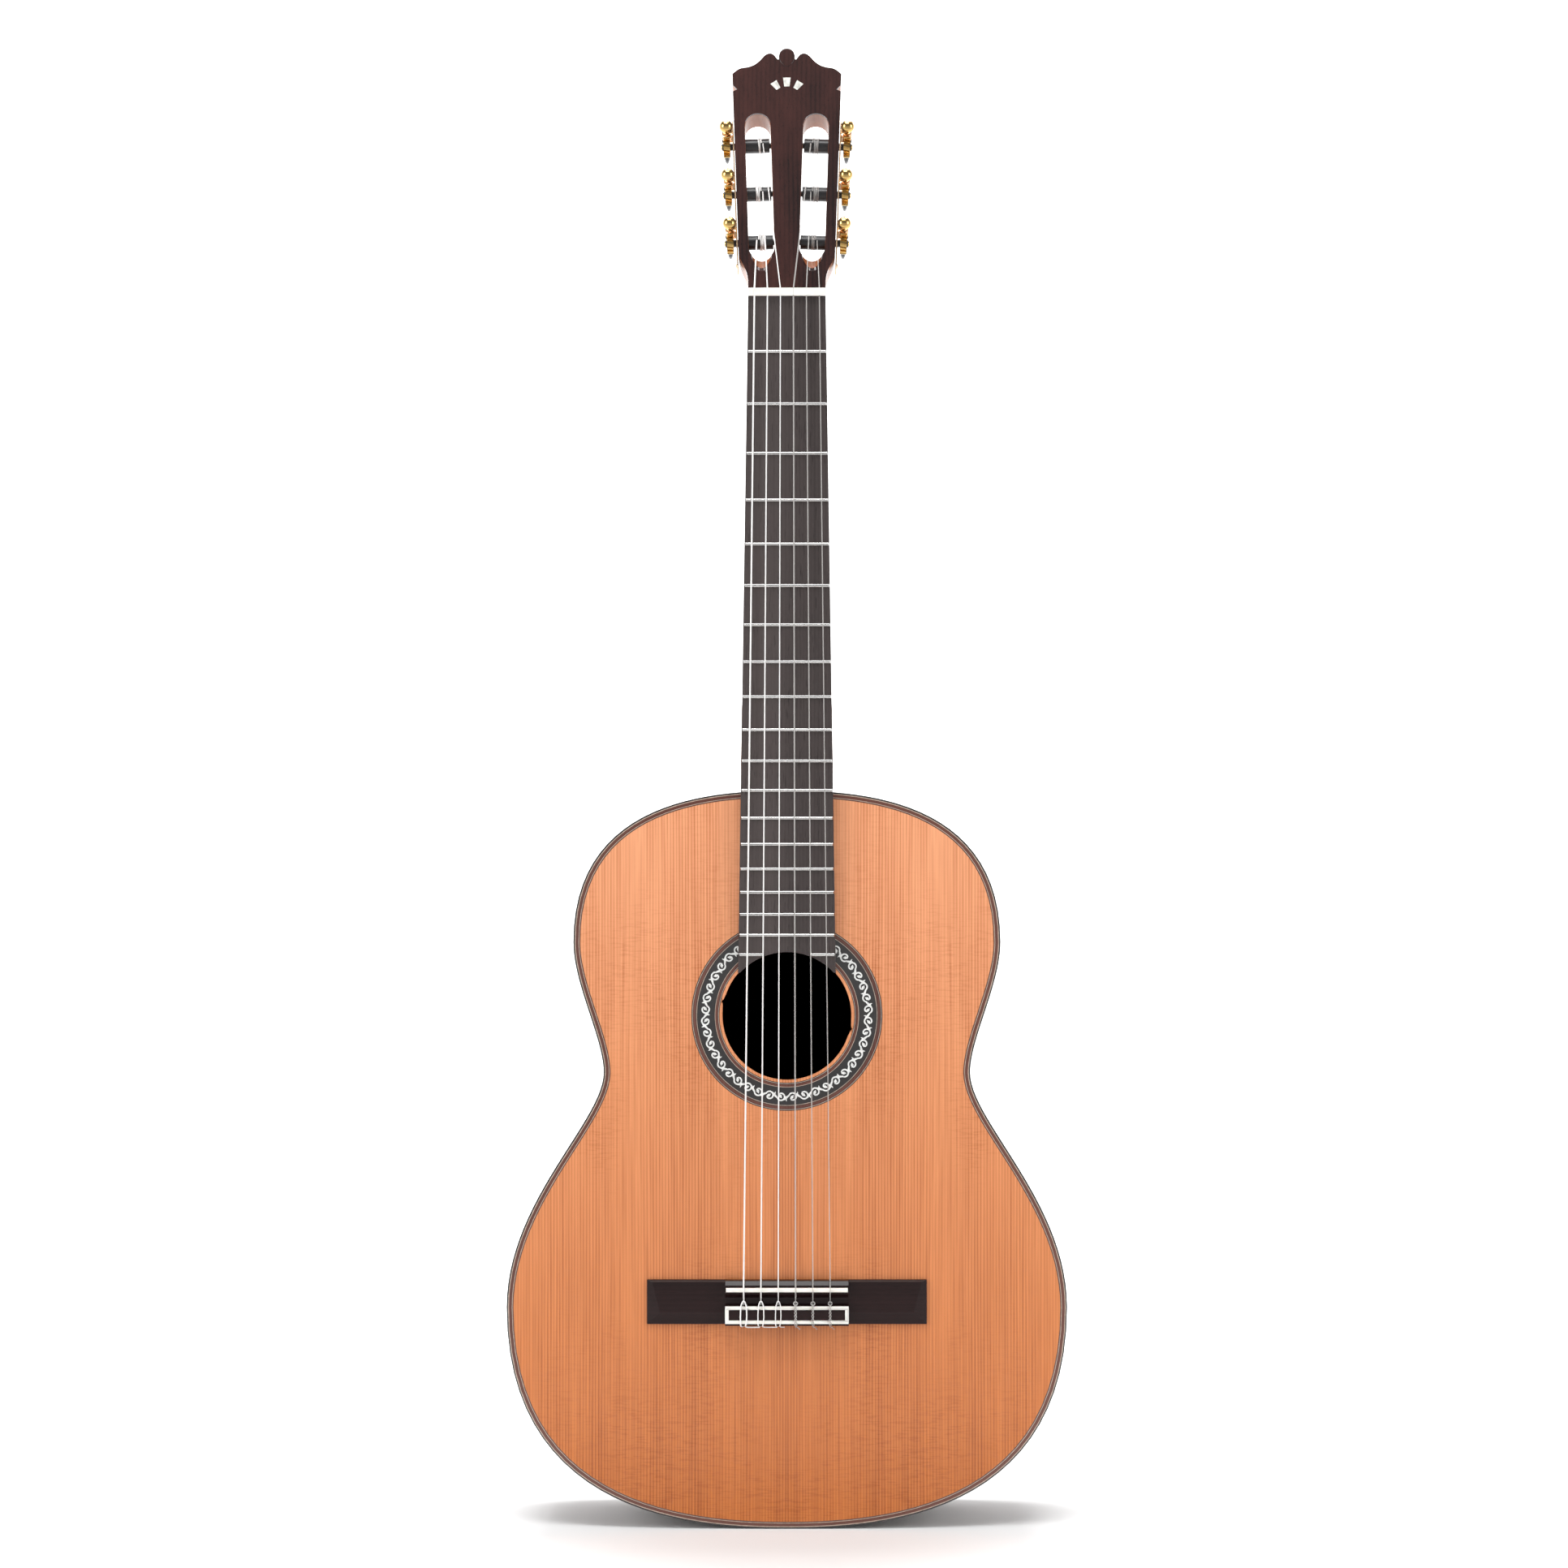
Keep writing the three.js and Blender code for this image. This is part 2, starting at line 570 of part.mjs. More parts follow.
function sideRod(radius, from, to, sides, side) {
  const geometry = new THREE.CylinderGeometry(radius, radius, to - from, sides).rotateZ(Math.PI / 2);
  return geometry.translate(side * (from + to) / 2, 0, 0);
}

function sideBlock(side, x0, x1, y0, y1, z0, z1) {
  return block(Math.min(side * x0, side * x1), Math.max(side * x0, side * x1), y0, y1, z0, z1);
}

function machinePlate(side) {
  const { low, high, deep, shallow, thickness } = sidePlate;
  const base = [solidOf(sideBlock(side, gap, gap + thickness, low, high, deep, shallow))];
  const holes = [];
  for (const along of rollerAlong) {
    const y = along + wormOffset;
    for (const away of [-lug.away, lug.away]) {
      const z = roller.depth + away - lug.thickness / 2;
      const post = sideBlock(side, gap, lug.reach, y - lug.half, y + lug.half, z, z + lug.thickness);
      base.push(solidOf(post));
    }
    holes.push(solidOf(rod(shaftRadius + gap, -25, 8, 8).translate(side * machineOut, y, 0)));
    holes.push(solidOf(sideRod(endPinRadius + gap, -1, 4, 8, side).translate(0, along, roller.depth)));
  }
  return cut(join(base), holes);
}

function wormShaft() {
  const points = [];
  const steps = thread.turns * thread.stepsPerTurn;
  for (let i = 0; i <= steps; i += 1) {
    const turn = ((i - steps / 2) / thread.stepsPerTurn) * 2 * Math.PI;
    const angle = turn - Math.PI / 2;
    const rise = roller.depth + (wormPitch * turn) / (2 * Math.PI);
    points.push(new THREE.Vector3(thread.centre * Math.cos(angle), thread.centre * Math.sin(angle), rise));
  }
  const helix = new THREE.CatmullRomCurve3(points);
  const section = polygon([0, 1, 2, 3, 4].map((corner) => {
    const around = (2 * Math.PI * corner) / 5;
    return [thread.radius * Math.cos(around), thread.radius * Math.sin(around)];
  }));
  const options = { steps, extrudePath: helix, bevelEnabled: false };
  const ridgeTurns = solidOf(new THREE.ExtrudeGeometry(section, options));
  const ballCentre = roller.depth + lug.away + lug.thickness / 2 + gap + ball.radius * ball.squash;
  const ballShape = new THREE.SphereGeometry(ball.radius, 10, 6).scale(1, 1, ball.squash);
  const collarTop = roller.depth - lug.away - lug.thickness / 2 - gap;
  return join([
    ridgeTurns,
    solidOf(rod(thread.core, roller.depth - thread.reach, roller.depth + thread.reach, 8)),
    solidOf(rod(shaftRadius, collarTop - 1, ballCentre, 6)),
    solidOf(rod(collar.radius, collarTop - collar.thickness, collarTop, 8)),
    solidOf(ballShape.translate(0, 0, ballCentre)),
  ]);
}

// A flat tapered knob: thick and narrow at the shaft, thin and broad at its end
const knob = { length: 26, thickNear: 3.7, thickFar: 1.4, broadNear: 4, broadFar: 7.8, broadest: 0.6 };
function knobShape() {
  const top = roller.depth - lug.away - lug.thickness / 2 - gap - collar.thickness;
  const geometry = new THREE.CylinderGeometry(1, 1, knob.length, 12, 4).rotateX(Math.PI / 2);
  return reshape(geometry, (point) => {
    const share = 0.5 - point.z / knob.length;
    const past = Math.max(0, (share - knob.broadest) / (1 - knob.broadest));
    const round = Math.sqrt(1 - past ** 2 * 0.75);
    const spread = Math.min(1, share / knob.broadest);
    point.x *= THREE.MathUtils.lerp(knob.thickNear, knob.thickFar, share);
    point.y *= THREE.MathUtils.lerp(knob.broadNear, knob.broadFar, spread) * round;
    point.z += top - knob.length / 2;
  });
}

// A tooth's reach past the pitch circle, and its half widths as shares of one tooth's turn
const tooth = { above: 0.5, below: 0.9, tipHalf: 0.1, rootHalf: 0.22 };
function gearShape(side) {
  const outer = gearPitchRadius + tooth.above;
  const root = gearPitchRadius - tooth.below;
  const corners = [
    [root, -tooth.rootHalf], [outer, -tooth.tipHalf], [outer, tooth.tipHalf], [root, tooth.rootHalf],
  ];
  const points = [];
  for (let i = 0; i < gearTeeth; i += 1) {
    const middle = ((i + 0.5) * 2 * Math.PI) / gearTeeth + Math.PI / 2;
    for (const [radius, share] of corners) {
      const angle = middle + (share * 2 * Math.PI) / gearTeeth;
      points.push([radius * Math.cos(angle), radius * Math.sin(angle)]);
    }
  }
  const shape = polygon(points);
  shape.holes.push(new THREE.Path().absarc(0, 0, endPinRadius + gap, 0, Math.PI * 2, false));
  const options = { depth: gearWidth, bevelEnabled: false, curveSegments: 8 };
  const geometry = new THREE.ExtrudeGeometry(shape, options);
  geometry.translate(0, 0, -gearWidth / 2);
  // teeth lean with the worm's thread
  const lead = wormPitch / (2 * Math.PI * wormRadius);
  reshape(geometry, (point) => {
    point.applyAxisAngle(new THREE.Vector3(0, 0, 1), (point.z * lead) / gearPitchRadius);
  });
  // the gear's axis goes from Z to X
  geometry.applyMatrix4(new THREE.Matrix4().set(0, 0, 1, 0, 0, 1, 0, 0, -1, 0, 0, 0, 0, 0, 0, 1));
  return geometry.translate(side * machineOut, 0, 0);
}

function rollerShape(side) {
  const end = machineOut + gearWidth / 2 + 1;
  return join([
    solidOf(sideRod(roller.radius, pinReach + 3.7, -gap, 12, side)),
    solidOf(sideRod(pinRadius, pinReach, pinReach + 8, 8, side)),
    solidOf(sideRod(endPinRadius, -2, end, 8, side)),
  ]);
}

for (const side of [-1, 1]) {
  const machine = new THREE.Group();
  machine.applyMatrix4(machineFrame(side));
  head.add(machine);
  const plateName = side < 0 ? 'machine_plate_bass' : 'machine_plate_treble';
  addPart(plateName, geometryOf(machinePlate(side)), 'gold', machine);
  rollerAlong.forEach((along, place) => {
    const number = side < 0 ? 6 - place : place + 1;
    const worm = addPart(`worm_shaft_${number}`, geometryOf(wormShaft()), 'gold', machine);
    worm.position.set(side * machineOut, along + wormOffset, 0);
    const button = addPart(`button_${number}`, knobShape(), 'blackPlastic', machine);
    button.position.copy(worm.position);
    const gear = addPart(`gear_${number}`, gearShape(side), 'gold', machine);
    gear.position.set(0, along, roller.depth);
    const barrel = addPart(`roller_${number}`, geometryOf(rollerShape(side)), 'blackPlastic', machine);
    barrel.position.set(0, along, roller.depth);
  });
}

// Centre the instrument's depth over the origin
guitar.updateMatrixWorld(true);
const reach = new THREE.Box3().setFromObject(guitar);
guitar.position.y = -(reach.min.y + reach.max.y) / 2;

export default guitar;
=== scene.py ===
import math
import bpy
import bmesh
from mathutils import Matrix, Vector


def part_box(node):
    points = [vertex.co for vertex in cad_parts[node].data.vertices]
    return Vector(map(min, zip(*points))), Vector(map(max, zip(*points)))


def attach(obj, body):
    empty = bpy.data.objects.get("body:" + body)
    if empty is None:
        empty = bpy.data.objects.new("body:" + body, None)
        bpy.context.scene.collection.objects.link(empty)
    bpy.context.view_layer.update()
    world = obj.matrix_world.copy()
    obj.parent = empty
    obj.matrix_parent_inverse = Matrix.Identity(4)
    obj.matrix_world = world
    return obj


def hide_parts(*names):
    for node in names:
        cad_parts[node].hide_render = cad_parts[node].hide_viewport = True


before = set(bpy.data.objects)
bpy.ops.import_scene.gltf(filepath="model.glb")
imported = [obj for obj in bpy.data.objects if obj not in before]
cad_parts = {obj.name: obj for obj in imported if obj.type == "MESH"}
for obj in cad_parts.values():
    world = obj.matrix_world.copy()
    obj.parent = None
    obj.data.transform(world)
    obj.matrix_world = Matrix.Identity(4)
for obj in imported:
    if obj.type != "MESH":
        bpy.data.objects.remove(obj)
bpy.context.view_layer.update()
collection = bpy.context.scene.collection

# Everything is drawn in millimetres with y = 0 on the soundboard's face, then moved into the frame
mm = 0.001
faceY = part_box("soundboard")[0].y
toFrame = Matrix.Translation((0, faceY, 0)) @ Matrix.Scale(mm, 4)
wholeTurn = 2 * math.pi


# ---------- nodes ----------

def feed(tree, socket, value):
    if isinstance(value, bpy.types.NodeSocket):
        tree.links.new(value, socket)
    else:
        socket.default_value = value


def calc(tree, operation, *values, clamp=False):
    node = tree.nodes.new("ShaderNodeMath")
    node.operation = operation
    node.use_clamp = clamp
    for place, value in enumerate(values):
        feed(tree, node.inputs[place], value)
    return node.outputs[0]


def stretch(tree, vector, factors, operation="MULTIPLY"):
    node = tree.nodes.new("ShaderNodeVectorMath")
    node.operation = operation
    feed(tree, node.inputs[0], vector)
    feed(tree, node.inputs[1], factors)
    return node.outputs[0]


def noise(tree, vector, scale, detail=2.0, roughness=0.5):
    node = tree.nodes.new("ShaderNodeTexNoise")
    feed(tree, node.inputs["Vector"], vector)
    feed(tree, node.inputs["Scale"], scale)
    node.inputs["Detail"].default_value = detail
    node.inputs["Roughness"].default_value = roughness
    return node.outputs[0]


def ramp(tree, value, low, high, toLow=0.0, toHigh=1.0):
    node = tree.nodes.new("ShaderNodeMapRange")
    for place, number in enumerate((value, low, high, toLow, toHigh)):
        feed(tree, node.inputs[place], number)
    return node.outputs[0]


def mixColors(tree, share, first, second):
    node = tree.nodes.new("ShaderNodeMix")
    node.data_type = "RGBA"
    feed(tree, node.inputs[0], share)
    feed(tree, node.inputs[6], first)
    feed(tree, node.inputs[7], second)
    return node.outputs[2]


def newGroup(name, inputs, outputs):
    group = bpy.data.node_groups.new(name, "ShaderNodeTree")
    for label, kind, value in inputs:
        socket = group.interface.new_socket(label, in_out="INPUT", socket_type=kind)
        if value is not None:
            socket.default_value = value
    for label, kind in outputs:
        group.interface.new_socket(label, in_out="OUTPUT", socket_type=kind)
    return group, group.nodes.new("NodeGroupInput").outputs, group.nodes.new("NodeGroupOutput").inputs


# Wood with its grain along Z: year lines, broad streaks, cross silk and open pores
def buildGrainGroup():
    group, given, result = newGroup("woodGrain", [
        ("Vector", "NodeSocketVector", None),
        ("Pale", "NodeSocketColor", (0.8, 0.5, 0.3, 1)),
        ("Dark", "NodeSocketColor", (0.4, 0.2, 0.1, 1)),
        ("Line Scale", "NodeSocketFloat", 200.0),
        ("Waviness", "NodeSocketFloat", 0.004),
        ("Lines", "NodeSocketFloat", 0.5),
        ("Streaks", "NodeSocketFloat", 0.5),
        ("Silk", "NodeSocketFloat", 0.0),
        ("Pores", "NodeSocketFloat", 0.0),
    ], [("Color", "NodeSocketColor"), ("Height", "NodeSocketFloat")])
    long = stretch(group, given["Vector"], (1, 1, 0.02))
    drift = calc(group, "SUBTRACT", noise(group, stretch(group, given["Vector"], (1, 1, 0.15)), 16), 0.5)
    shift = group.nodes.new("ShaderNodeCombineXYZ")
    feed(group, shift.inputs["X"], calc(group, "MULTIPLY", drift, given["Waviness"]))
    warped = stretch(group, long, shift.outputs[0], "ADD")
    wave = group.nodes.new("ShaderNodeTexWave")
    wave.inputs["Distortion"].default_value = 1.6
    wave.inputs["Detail"].default_value = 2
    wave.inputs["Detail Scale"].default_value = 0.4
    feed(group, wave.inputs["Vector"], warped)
    feed(group, wave.inputs["Scale"], given["Line Scale"])
    irregular = noise(group, warped, calc(group, "MULTIPLY", given["Line Scale"], 3.1), 3, 0.62)
    strength = ramp(group, noise(group, long, 45, 1), 0.35, 0.65, 0.25, 1.0)
    yearLines = calc(group, "MULTIPLY", calc(group, "POWER", wave.outputs["Fac"], 2.2), strength)
    lines = calc(group, "ADD", calc(group, "MULTIPLY", yearLines, 0.62),
                 calc(group, "MULTIPLY", ramp(group, irregular, 0.4, 0.68), 0.38))
    broad = ramp(group, noise(group, warped, 24, 3, 0.55), 0.33, 0.68)
    threads = stretch(group, given["Vector"], (0.16, 1, 1.3))
    patches = stretch(group, given["Vector"], (2.2, 1, 1))
    silk = calc(group, "MULTIPLY", ramp(group, noise(group, threads, 720, 2), 0.5, 0.64),
                ramp(group, noise(group, patches, 7, 2), 0.44, 0.62))
    dashes = noise(group, stretch(group, warped, (1, 1, 3)), 1500, 1)
    pores = ramp(group, dashes, 0.64, 0.7)
    share = calc(group, "MULTIPLY", lines, given["Lines"])
    for mask, label in ((broad, "Streaks"), (silk, "Silk"), (pores, "Pores")):
        share = calc(group, "MULTIPLY_ADD", mask, given[label], share)
    share = calc(group, "MINIMUM", share, 1.0)
    feed(group, result["Color"], mixColors(group, share, given["Pale"], given["Dark"]))
    feed(group, result["Height"], calc(group, "SUBTRACT", 1.0, share))
    return group


# Uneven gloss: a slow drift from handling and polishing, and a fine speckle of dust
def buildGlossGroup():
    group, given, result = newGroup("unevenGloss", [
        ("Vector", "NodeSocketVector", None),
        ("Roughness", "NodeSocketFloat", 0.3),
        ("Spread", "NodeSocketFloat", 0.08),
    ], [("Roughness", "NodeSocketFloat"), ("Height", "NodeSocketFloat")])
    slow = calc(group, "SUBTRACT", noise(group, given["Vector"], 18, 3), 0.5)
    specks = ramp(group, noise(group, given["Vector"], 1900, 1), 0.68, 0.74)
    uneven = calc(group, "MULTIPLY_ADD", specks, 0.6, slow)
    rough = calc(group, "MULTIPLY_ADD", uneven, given["Spread"], given["Roughness"], clamp=True)
    feed(group, result["Roughness"], rough)
    feed(group, result["Height"], noise(group, given["Vector"], 260, 2))
    return group


grainGroup = buildGrainGroup()
glossGroup = buildGlossGroup()


def newMaterial(name, **sockets):
    material = bpy.data.materials.new(name)
    material.use_nodes = True
    shader = material.node_tree.nodes["Principled BSDF"]
    for label, value in sockets.items():
        shader.inputs[label.replace("_", " ")].default_value = value
    return material, material.node_tree, shader


# Where a pattern reads its place: the object, its mirrored halves, or the piece's own run
def patternVector(tree, source):
    if source == "run":
        node = tree.nodes.new("ShaderNodeAttribute")
        node.attribute_name = "run"
        return node.outputs["Vector"]
    place = tree.nodes.new("ShaderNodeTexCoord").outputs["Object"]
    if source == "crosswise":
        mapping = tree.nodes.new("ShaderNodeMapping")
        mapping.inputs["Rotation"].default_value = (0, math.pi / 2, 0)
        feed(tree, mapping.inputs["Vector"], place)
        return mapping.outputs[0]
    if source == "mirrored":
        parts = tree.nodes.new("ShaderNodeSeparateXYZ")
        feed(tree, parts.inputs[0], place)
        joined = tree.nodes.new("ShaderNodeCombineXYZ")
        feed(tree, joined.inputs[0], calc(tree, "ABSOLUTE", parts.outputs[0]))
        feed(tree, joined.inputs[1], parts.outputs[1])
        feed(tree, joined.inputs[2], parts.outputs[2])
        return joined.outputs[0]
    return place


def addGloss(tree, shader, vector, roughness, spread):
    gloss = tree.nodes.new("ShaderNodeGroup")
    gloss.node_tree = glossGroup
    feed(tree, gloss.inputs["Vector"], vector)
    gloss.inputs["Roughness"].default_value = roughness
    gloss.inputs["Spread"].default_value = spread
    feed(tree, shader.inputs["Roughness"], gloss.outputs["Roughness"])
    return gloss.outputs["Height"]


def addBump(tree, shader, height, strength, distance):
    bump = tree.nodes.new("ShaderNodeBump")
    bump.inputs["Strength"].default_value = strength
    bump.inputs["Distance"].default_value = distance
    feed(tree, bump.inputs["Height"], height)
    feed(tree, shader.inputs["Normal"], bump.outputs[0])


def woodMaterial(name, wood):
    material, tree, shader = newMaterial(name, Coat_Weight=wood["coat"], Coat_Roughness=wood["coatRoughness"],
                                         Coat_IOR=1.42, Specular_IOR_Level=wood["specular"])
    vector = patternVector(tree, wood["source"])
    grain = tree.nodes.new("ShaderNodeGroup")
    grain.node_tree = grainGroup
    feed(tree, grain.inputs["Vector"], vector)
    for label, key, shadedKey in (("Pale", "pale", "shadedLowPale"), ("Dark", "dark", "shadedLowDark")):
        grain.inputs[label].default_value = (*wood[key], 1)
        # A wood given low colours darkens towards the bottom: painted shade, as if the upper part were lit
        # more brightly than the lower
        if shadedKey in wood:
            parts = tree.nodes.new("ShaderNodeSeparateXYZ")
            feed(tree, parts.inputs[0], vector)
            height = ramp(tree, parts.outputs[2], 0.04, 0.46)
            feed(tree, grain.inputs[label], mixColors(tree, height, (*wood[shadedKey], 1), (*wood[key], 1)))
    for label, key in (("Line Scale", "scale"), ("Waviness", "waviness"), ("Lines", "lines"),
                       ("Streaks", "streaks"), ("Silk", "silk"), ("Pores", "pores")):
        grain.inputs[label].default_value = wood[key]
    feed(tree, shader.inputs["Base Color"], grain.outputs["Color"])
    addGloss(tree, shader, vector, wood["roughness"], wood["spread"])
    addBump(tree, shader, grain.outputs["Height"], wood["bump"], 0.0002)
    return material


# What a wood has unless it says otherwise: lacquered, with fine straight grain
plainWood = {"source": "object", "scale": 200, "waviness": 0.004, "lines": 0.5, "streaks": 0.4, "silk": 0,
             "pores": 0, "roughness": 0.38, "spread": 0.1, "coat": 1.0, "coatRoughness": 0.06,
             "specular": 0.05, "bump": 0.15}
woods = {
    # The cedar's low colours are painted shade: the lower bout is made darker, as if less lit
    "cedar": {"source": "mirrored", "pale": (0.87, 0.390, 0.20), "dark": (0.49, 0.155, 0.060),
              "shadedLowPale": (0.61, 0.185, 0.042), "shadedLowDark": (0.27, 0.062, 0.012), "scale": 158,
              "waviness": 0.003, "lines": 0.85, "streaks": 0.12, "silk": 0.2, "coatRoughness": 0.14},
    "rosewoodBack": {"source": "mirrored", "pale": (0.105, 0.040, 0.024), "dark": (0.018, 0.008, 0.006),
                     "scale": 62, "waviness": 0.03, "lines": 0.6, "streaks": 0.55, "pores": 0.3},
    "rosewoodRib": {"source": "run", "pale": (0.105, 0.040, 0.024), "dark": (0.018, 0.008, 0.006),
                    "scale": 74, "waviness": 0.02, "lines": 0.6, "streaks": 0.5, "pores": 0.3},
    "binding": {"source": "run", "pale": (0.150, 0.062, 0.046), "dark": (0.070, 0.026, 0.020), "scale": 160,
                "lines": 0.4, "pores": 0.2},
    "rosetteRing": {"pale": (0.150, 0.062, 0.046), "dark": (0.075, 0.028, 0.022), "scale": 160, "pores": 0.2},
    "mahogany": {"pale": (0.36, 0.125, 0.052), "dark": (0.17, 0.050, 0.022), "scale": 95,
                 "waviness": 0.01, "lines": 0.35, "pores": 0.5, "coat": 0.6, "coatRoughness": 0.22,
                 "bump": 0.3},
    "veneer": {"pale": (0.058, 0.020, 0.017), "dark": (0.013, 0.0065, 0.0065), "scale": 105,
               "waviness": 0.008, "lines": 0.45, "streaks": 0.75, "pores": 0.25},
    "board": {"pale": (0.082, 0.066, 0.064), "dark": (0.032, 0.025, 0.024), "scale": 130, "lines": 0.3,
              "streaks": 0.75, "pores": 0.4, "roughness": 0.46, "coat": 0.0, "specular": 0.3, "bump": 0.35},
    "bridge": {"source": "crosswise", "pale": (0.020, 0.009, 0.009), "dark": (0.007, 0.0035, 0.0035),
               "scale": 90, "lines": 0.4, "streaks": 0.6, "pores": 0.3, "coat": 0.35, "coatRoughness": 0.07},
    "spruce": {"pale": (0.74, 0.53, 0.31), "dark": (0.52, 0.33, 0.17), "scale": 180, "silk": 0.15,
               "roughness": 0.62, "coat": 0.0, "bump": 0.4},
}
finish = {name: woodMaterial(name, {**plainWood, **wood}) for name, wood in woods.items()}


# A hard, even material with its gloss drifting a little and a fine surface
def hardMaterial(name, color, roughness, spread=0.06, bump=0.05, tint=0.12, tintScale=90, **sockets):
    material, tree, shader = newMaterial(name, **sockets)
    vector = patternVector(tree, "object")
    deeper = tuple(part * (1 - tint) for part in color)
    mottle = ramp(tree, noise(tree, vector, tintScale, 3), 0.35, 0.65)
    feed(tree, shader.inputs["Base Color"], mixColors(tree, mottle, (*color, 1), (*deeper, 1)))
    height = addGloss(tree, shader, vector, roughness, spread)
    addBump(tree, shader, height, bump, 0.0001)
    finish[name] = material


lacquer = {"Coat_Weight": 1.0, "Coat_Roughness": 0.08}
# Black for the rosette's rings; on the front binding's outer side and rounded edge it is painted shade
hardMaterial("blackLineAndEdgeShade", (0.012, 0.010, 0.010), 0.3, **lacquer)
hardMaterial("paleLine", (0.50, 0.37, 0.29), 0.4, tint=0.3, tintScale=500, **lacquer)
hardMaterial("darkLine", (0.105, 0.040, 0.024), 0.4, tint=0.3, tintScale=500, **lacquer)
hardMaterial("scroll", (0.86, 0.86, 0.84), 0.35, tint=0.25, tintScale=700, **lacquer)
hardMaterial("pearl", (0.80, 0.80, 0.74), 0.22, tint=0.35, tintScale=420, Coat_Weight=1.0,
             Coat_Roughness=0.05)
hardMaterial("bone", (0.90, 0.88, 0.82), 0.28, tint=0.08, tintScale=160, Subsurface_Weight=0.08,
             Subsurface_Scale=0.002)
hardMaterial("gold", (0.66, 0.44, 0.16), 0.16, spread=0.12, Metallic=1.0)
hardMaterial("paleGold", (0.93, 0.66, 0.44), 0.22, spread=0.12, Metallic=1.0)
hardMaterial("blackPlastic", (0.016, 0.016, 0.019), 0.26, spread=0.14)
hardMaterial("rollerPlastic", (0.020, 0.019, 0.021), 0.36, spread=0.12)
hardMaterial("nickelSilver", (0.60, 0.59, 0.58), 0.24, spread=0.12, Metallic=1.0)
hardMaterial("clearNylon", (0.60, 0.58, 0.56), 0.2, tint=0.04, Alpha=0.42)
# The label glows faintly: painted light standing in for the light that comes in through the soundhole and the
# top
hardMaterial("labelPaper", (0.16, 0.13, 0.12), 0.75, tint=0.3, Emission_Color=(0.012, 0.008, 0.007, 1),
             Emission_Strength=1.0)
hardMaterial("labelLine", (0.85, 0.82, 0.80), 0.7, Emission_Color=(0.045, 0.038, 0.036, 1),
             Emission_Strength=1.0)


# Silver wire wrapped round the bass strings: fine turns along the string
def woundMaterial():
    material, tree, shader = newMaterial("woundWire", Metallic=0.2)
    vector = patternVector(tree, "object")
    turns = tree.nodes.new("ShaderNodeTexWave")
    turns.bands_direction = "Z"
    turns.inputs["Scale"].default_value = 980
    turns.inputs["Distortion"].default_value = 0
    feed(tree, turns.inputs["Vector"], vector)
    color = mixColors(tree, turns.outputs["Fac"], (0.80, 0.79, 0.77, 1), (0.97, 0.96, 0.95, 1))
    feed(tree, shader.inputs["Base Color"], color)
    addGloss(tree, shader, vector, 0.34, 0.1)
    addBump(tree, shader, turns.outputs["Fac"], 0.5, 0.00005)
    finish["woundWire"] = material


woundMaterial()
print("materials made:", len(finish))


# ---------- shaping ----------

def finishPiece(name, bm, materials, replaced=(), body="body", smooth=28, place=Matrix()):
    bmesh.ops.remove_doubles(bm, verts=bm.verts, dist=0.0008)
    bmesh.ops.recalc_face_normals(bm, faces=bm.faces)
    bm.transform(toFrame @ place)
    data = bpy.data.meshes.new(name)
    bm.to_mesh(data)
    bm.free()
    for label in materials:
        data.materials.append(finish[label])
    data.shade_smooth()
    data.set_sharp_from_angle(angle=math.radians(smooth))
    piece = bpy.data.objects.new(name, data)
    collection.objects.link(piece)
    shading = piece.modifiers.new("evenShading", "WEIGHTED_NORMAL")  # keeps broad faces flat beside bevels
    shading.keep_sharp = True
    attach(piece, body)
    if replaced:
        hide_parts(*replaced)
    return piece


def paint(bm, band):
    for face in bm.faces:
        face.material_index = band
    return bm


def joinInto(bm, *others):
    for other in others:
        run = bpy.data.meshes.new("run")
        other.to_mesh(run)
        other.free()
        bm.from_mesh(run)
        bpy.data.meshes.remove(run)
    return bm


def vertsIn(made):
    return [item for item in made if isinstance(item, bmesh.types.BMVert)]


# The edges whose two ends both pass a test of place
def edgesWhere(bm, test):
    return [edge for edge in bm.edges if all(test(vert.co) for vert in edge.verts)]


def bevelEdges(bm, edges, offset, segments=2):
    bmesh.ops.bevel(bm, geom=edges, offset=offset, segments=segments, profile=0.5, affect="EDGES",
                    material=-1, clamp_overlap=True)


def sharpEdges(bm, degrees=40):
    limit = math.radians(degrees)
    return [edge for edge in bm.edges if edge.is_manifold and edge.calc_face_angle() > limit]


def block(low, high, bevel=0.0, segments=2):
    bm = bmesh.new()
    bmesh.ops.create_cube(bm, size=1)
    bmesh.ops.scale(bm, vec=Vector(high) - Vector(low), verts=bm.verts)
    bmesh.ops.translate(bm, vec=(Vector(high) + Vector(low)) / 2, verts=bm.verts)
    if bevel:
        bevelEdges(bm, bm.edges[:], bevel, segments)
    return bm


# A flat outline in the local XY plane, raised along Z from low to high
def prism(points, low, high):
    bm = bmesh.new()
    face = bm.faces.new([bm.verts.new((x, y, low)) for x, y in points])
    made = bmesh.ops.extrude_face_region(bm, geom=[face])["geom"]
    bmesh.ops.translate(bm, vec=(0, 0, high - low), verts=vertsIn(made))
    bmesh.ops.recalc_face_normals(bm, faces=bm.faces)
    return bm


# A profile of (radius, height) pairs turned about the local Z axis
def turned(profile, steps=32, closed=False):
    bm = bmesh.new()
    verts = [bm.verts.new((radius, 0, height)) for radius, height in profile]
    edges = [bm.edges.new(pair) for pair in zip(verts, verts[1:])]
    if closed:
        edges.append(bm.edges.new((verts[-1], verts[0])))
    bmesh.ops.spin(bm, geom=verts + edges, cent=(0, 0, 0), axis=(0, 0, 1), angle=wholeTurn, steps=steps,
                   use_merge=True)
    bmesh.ops.remove_doubles(bm, verts=bm.verts, dist=0.0005)
    bmesh.ops.recalc_face_normals(bm, faces=bm.faces)
    return bm


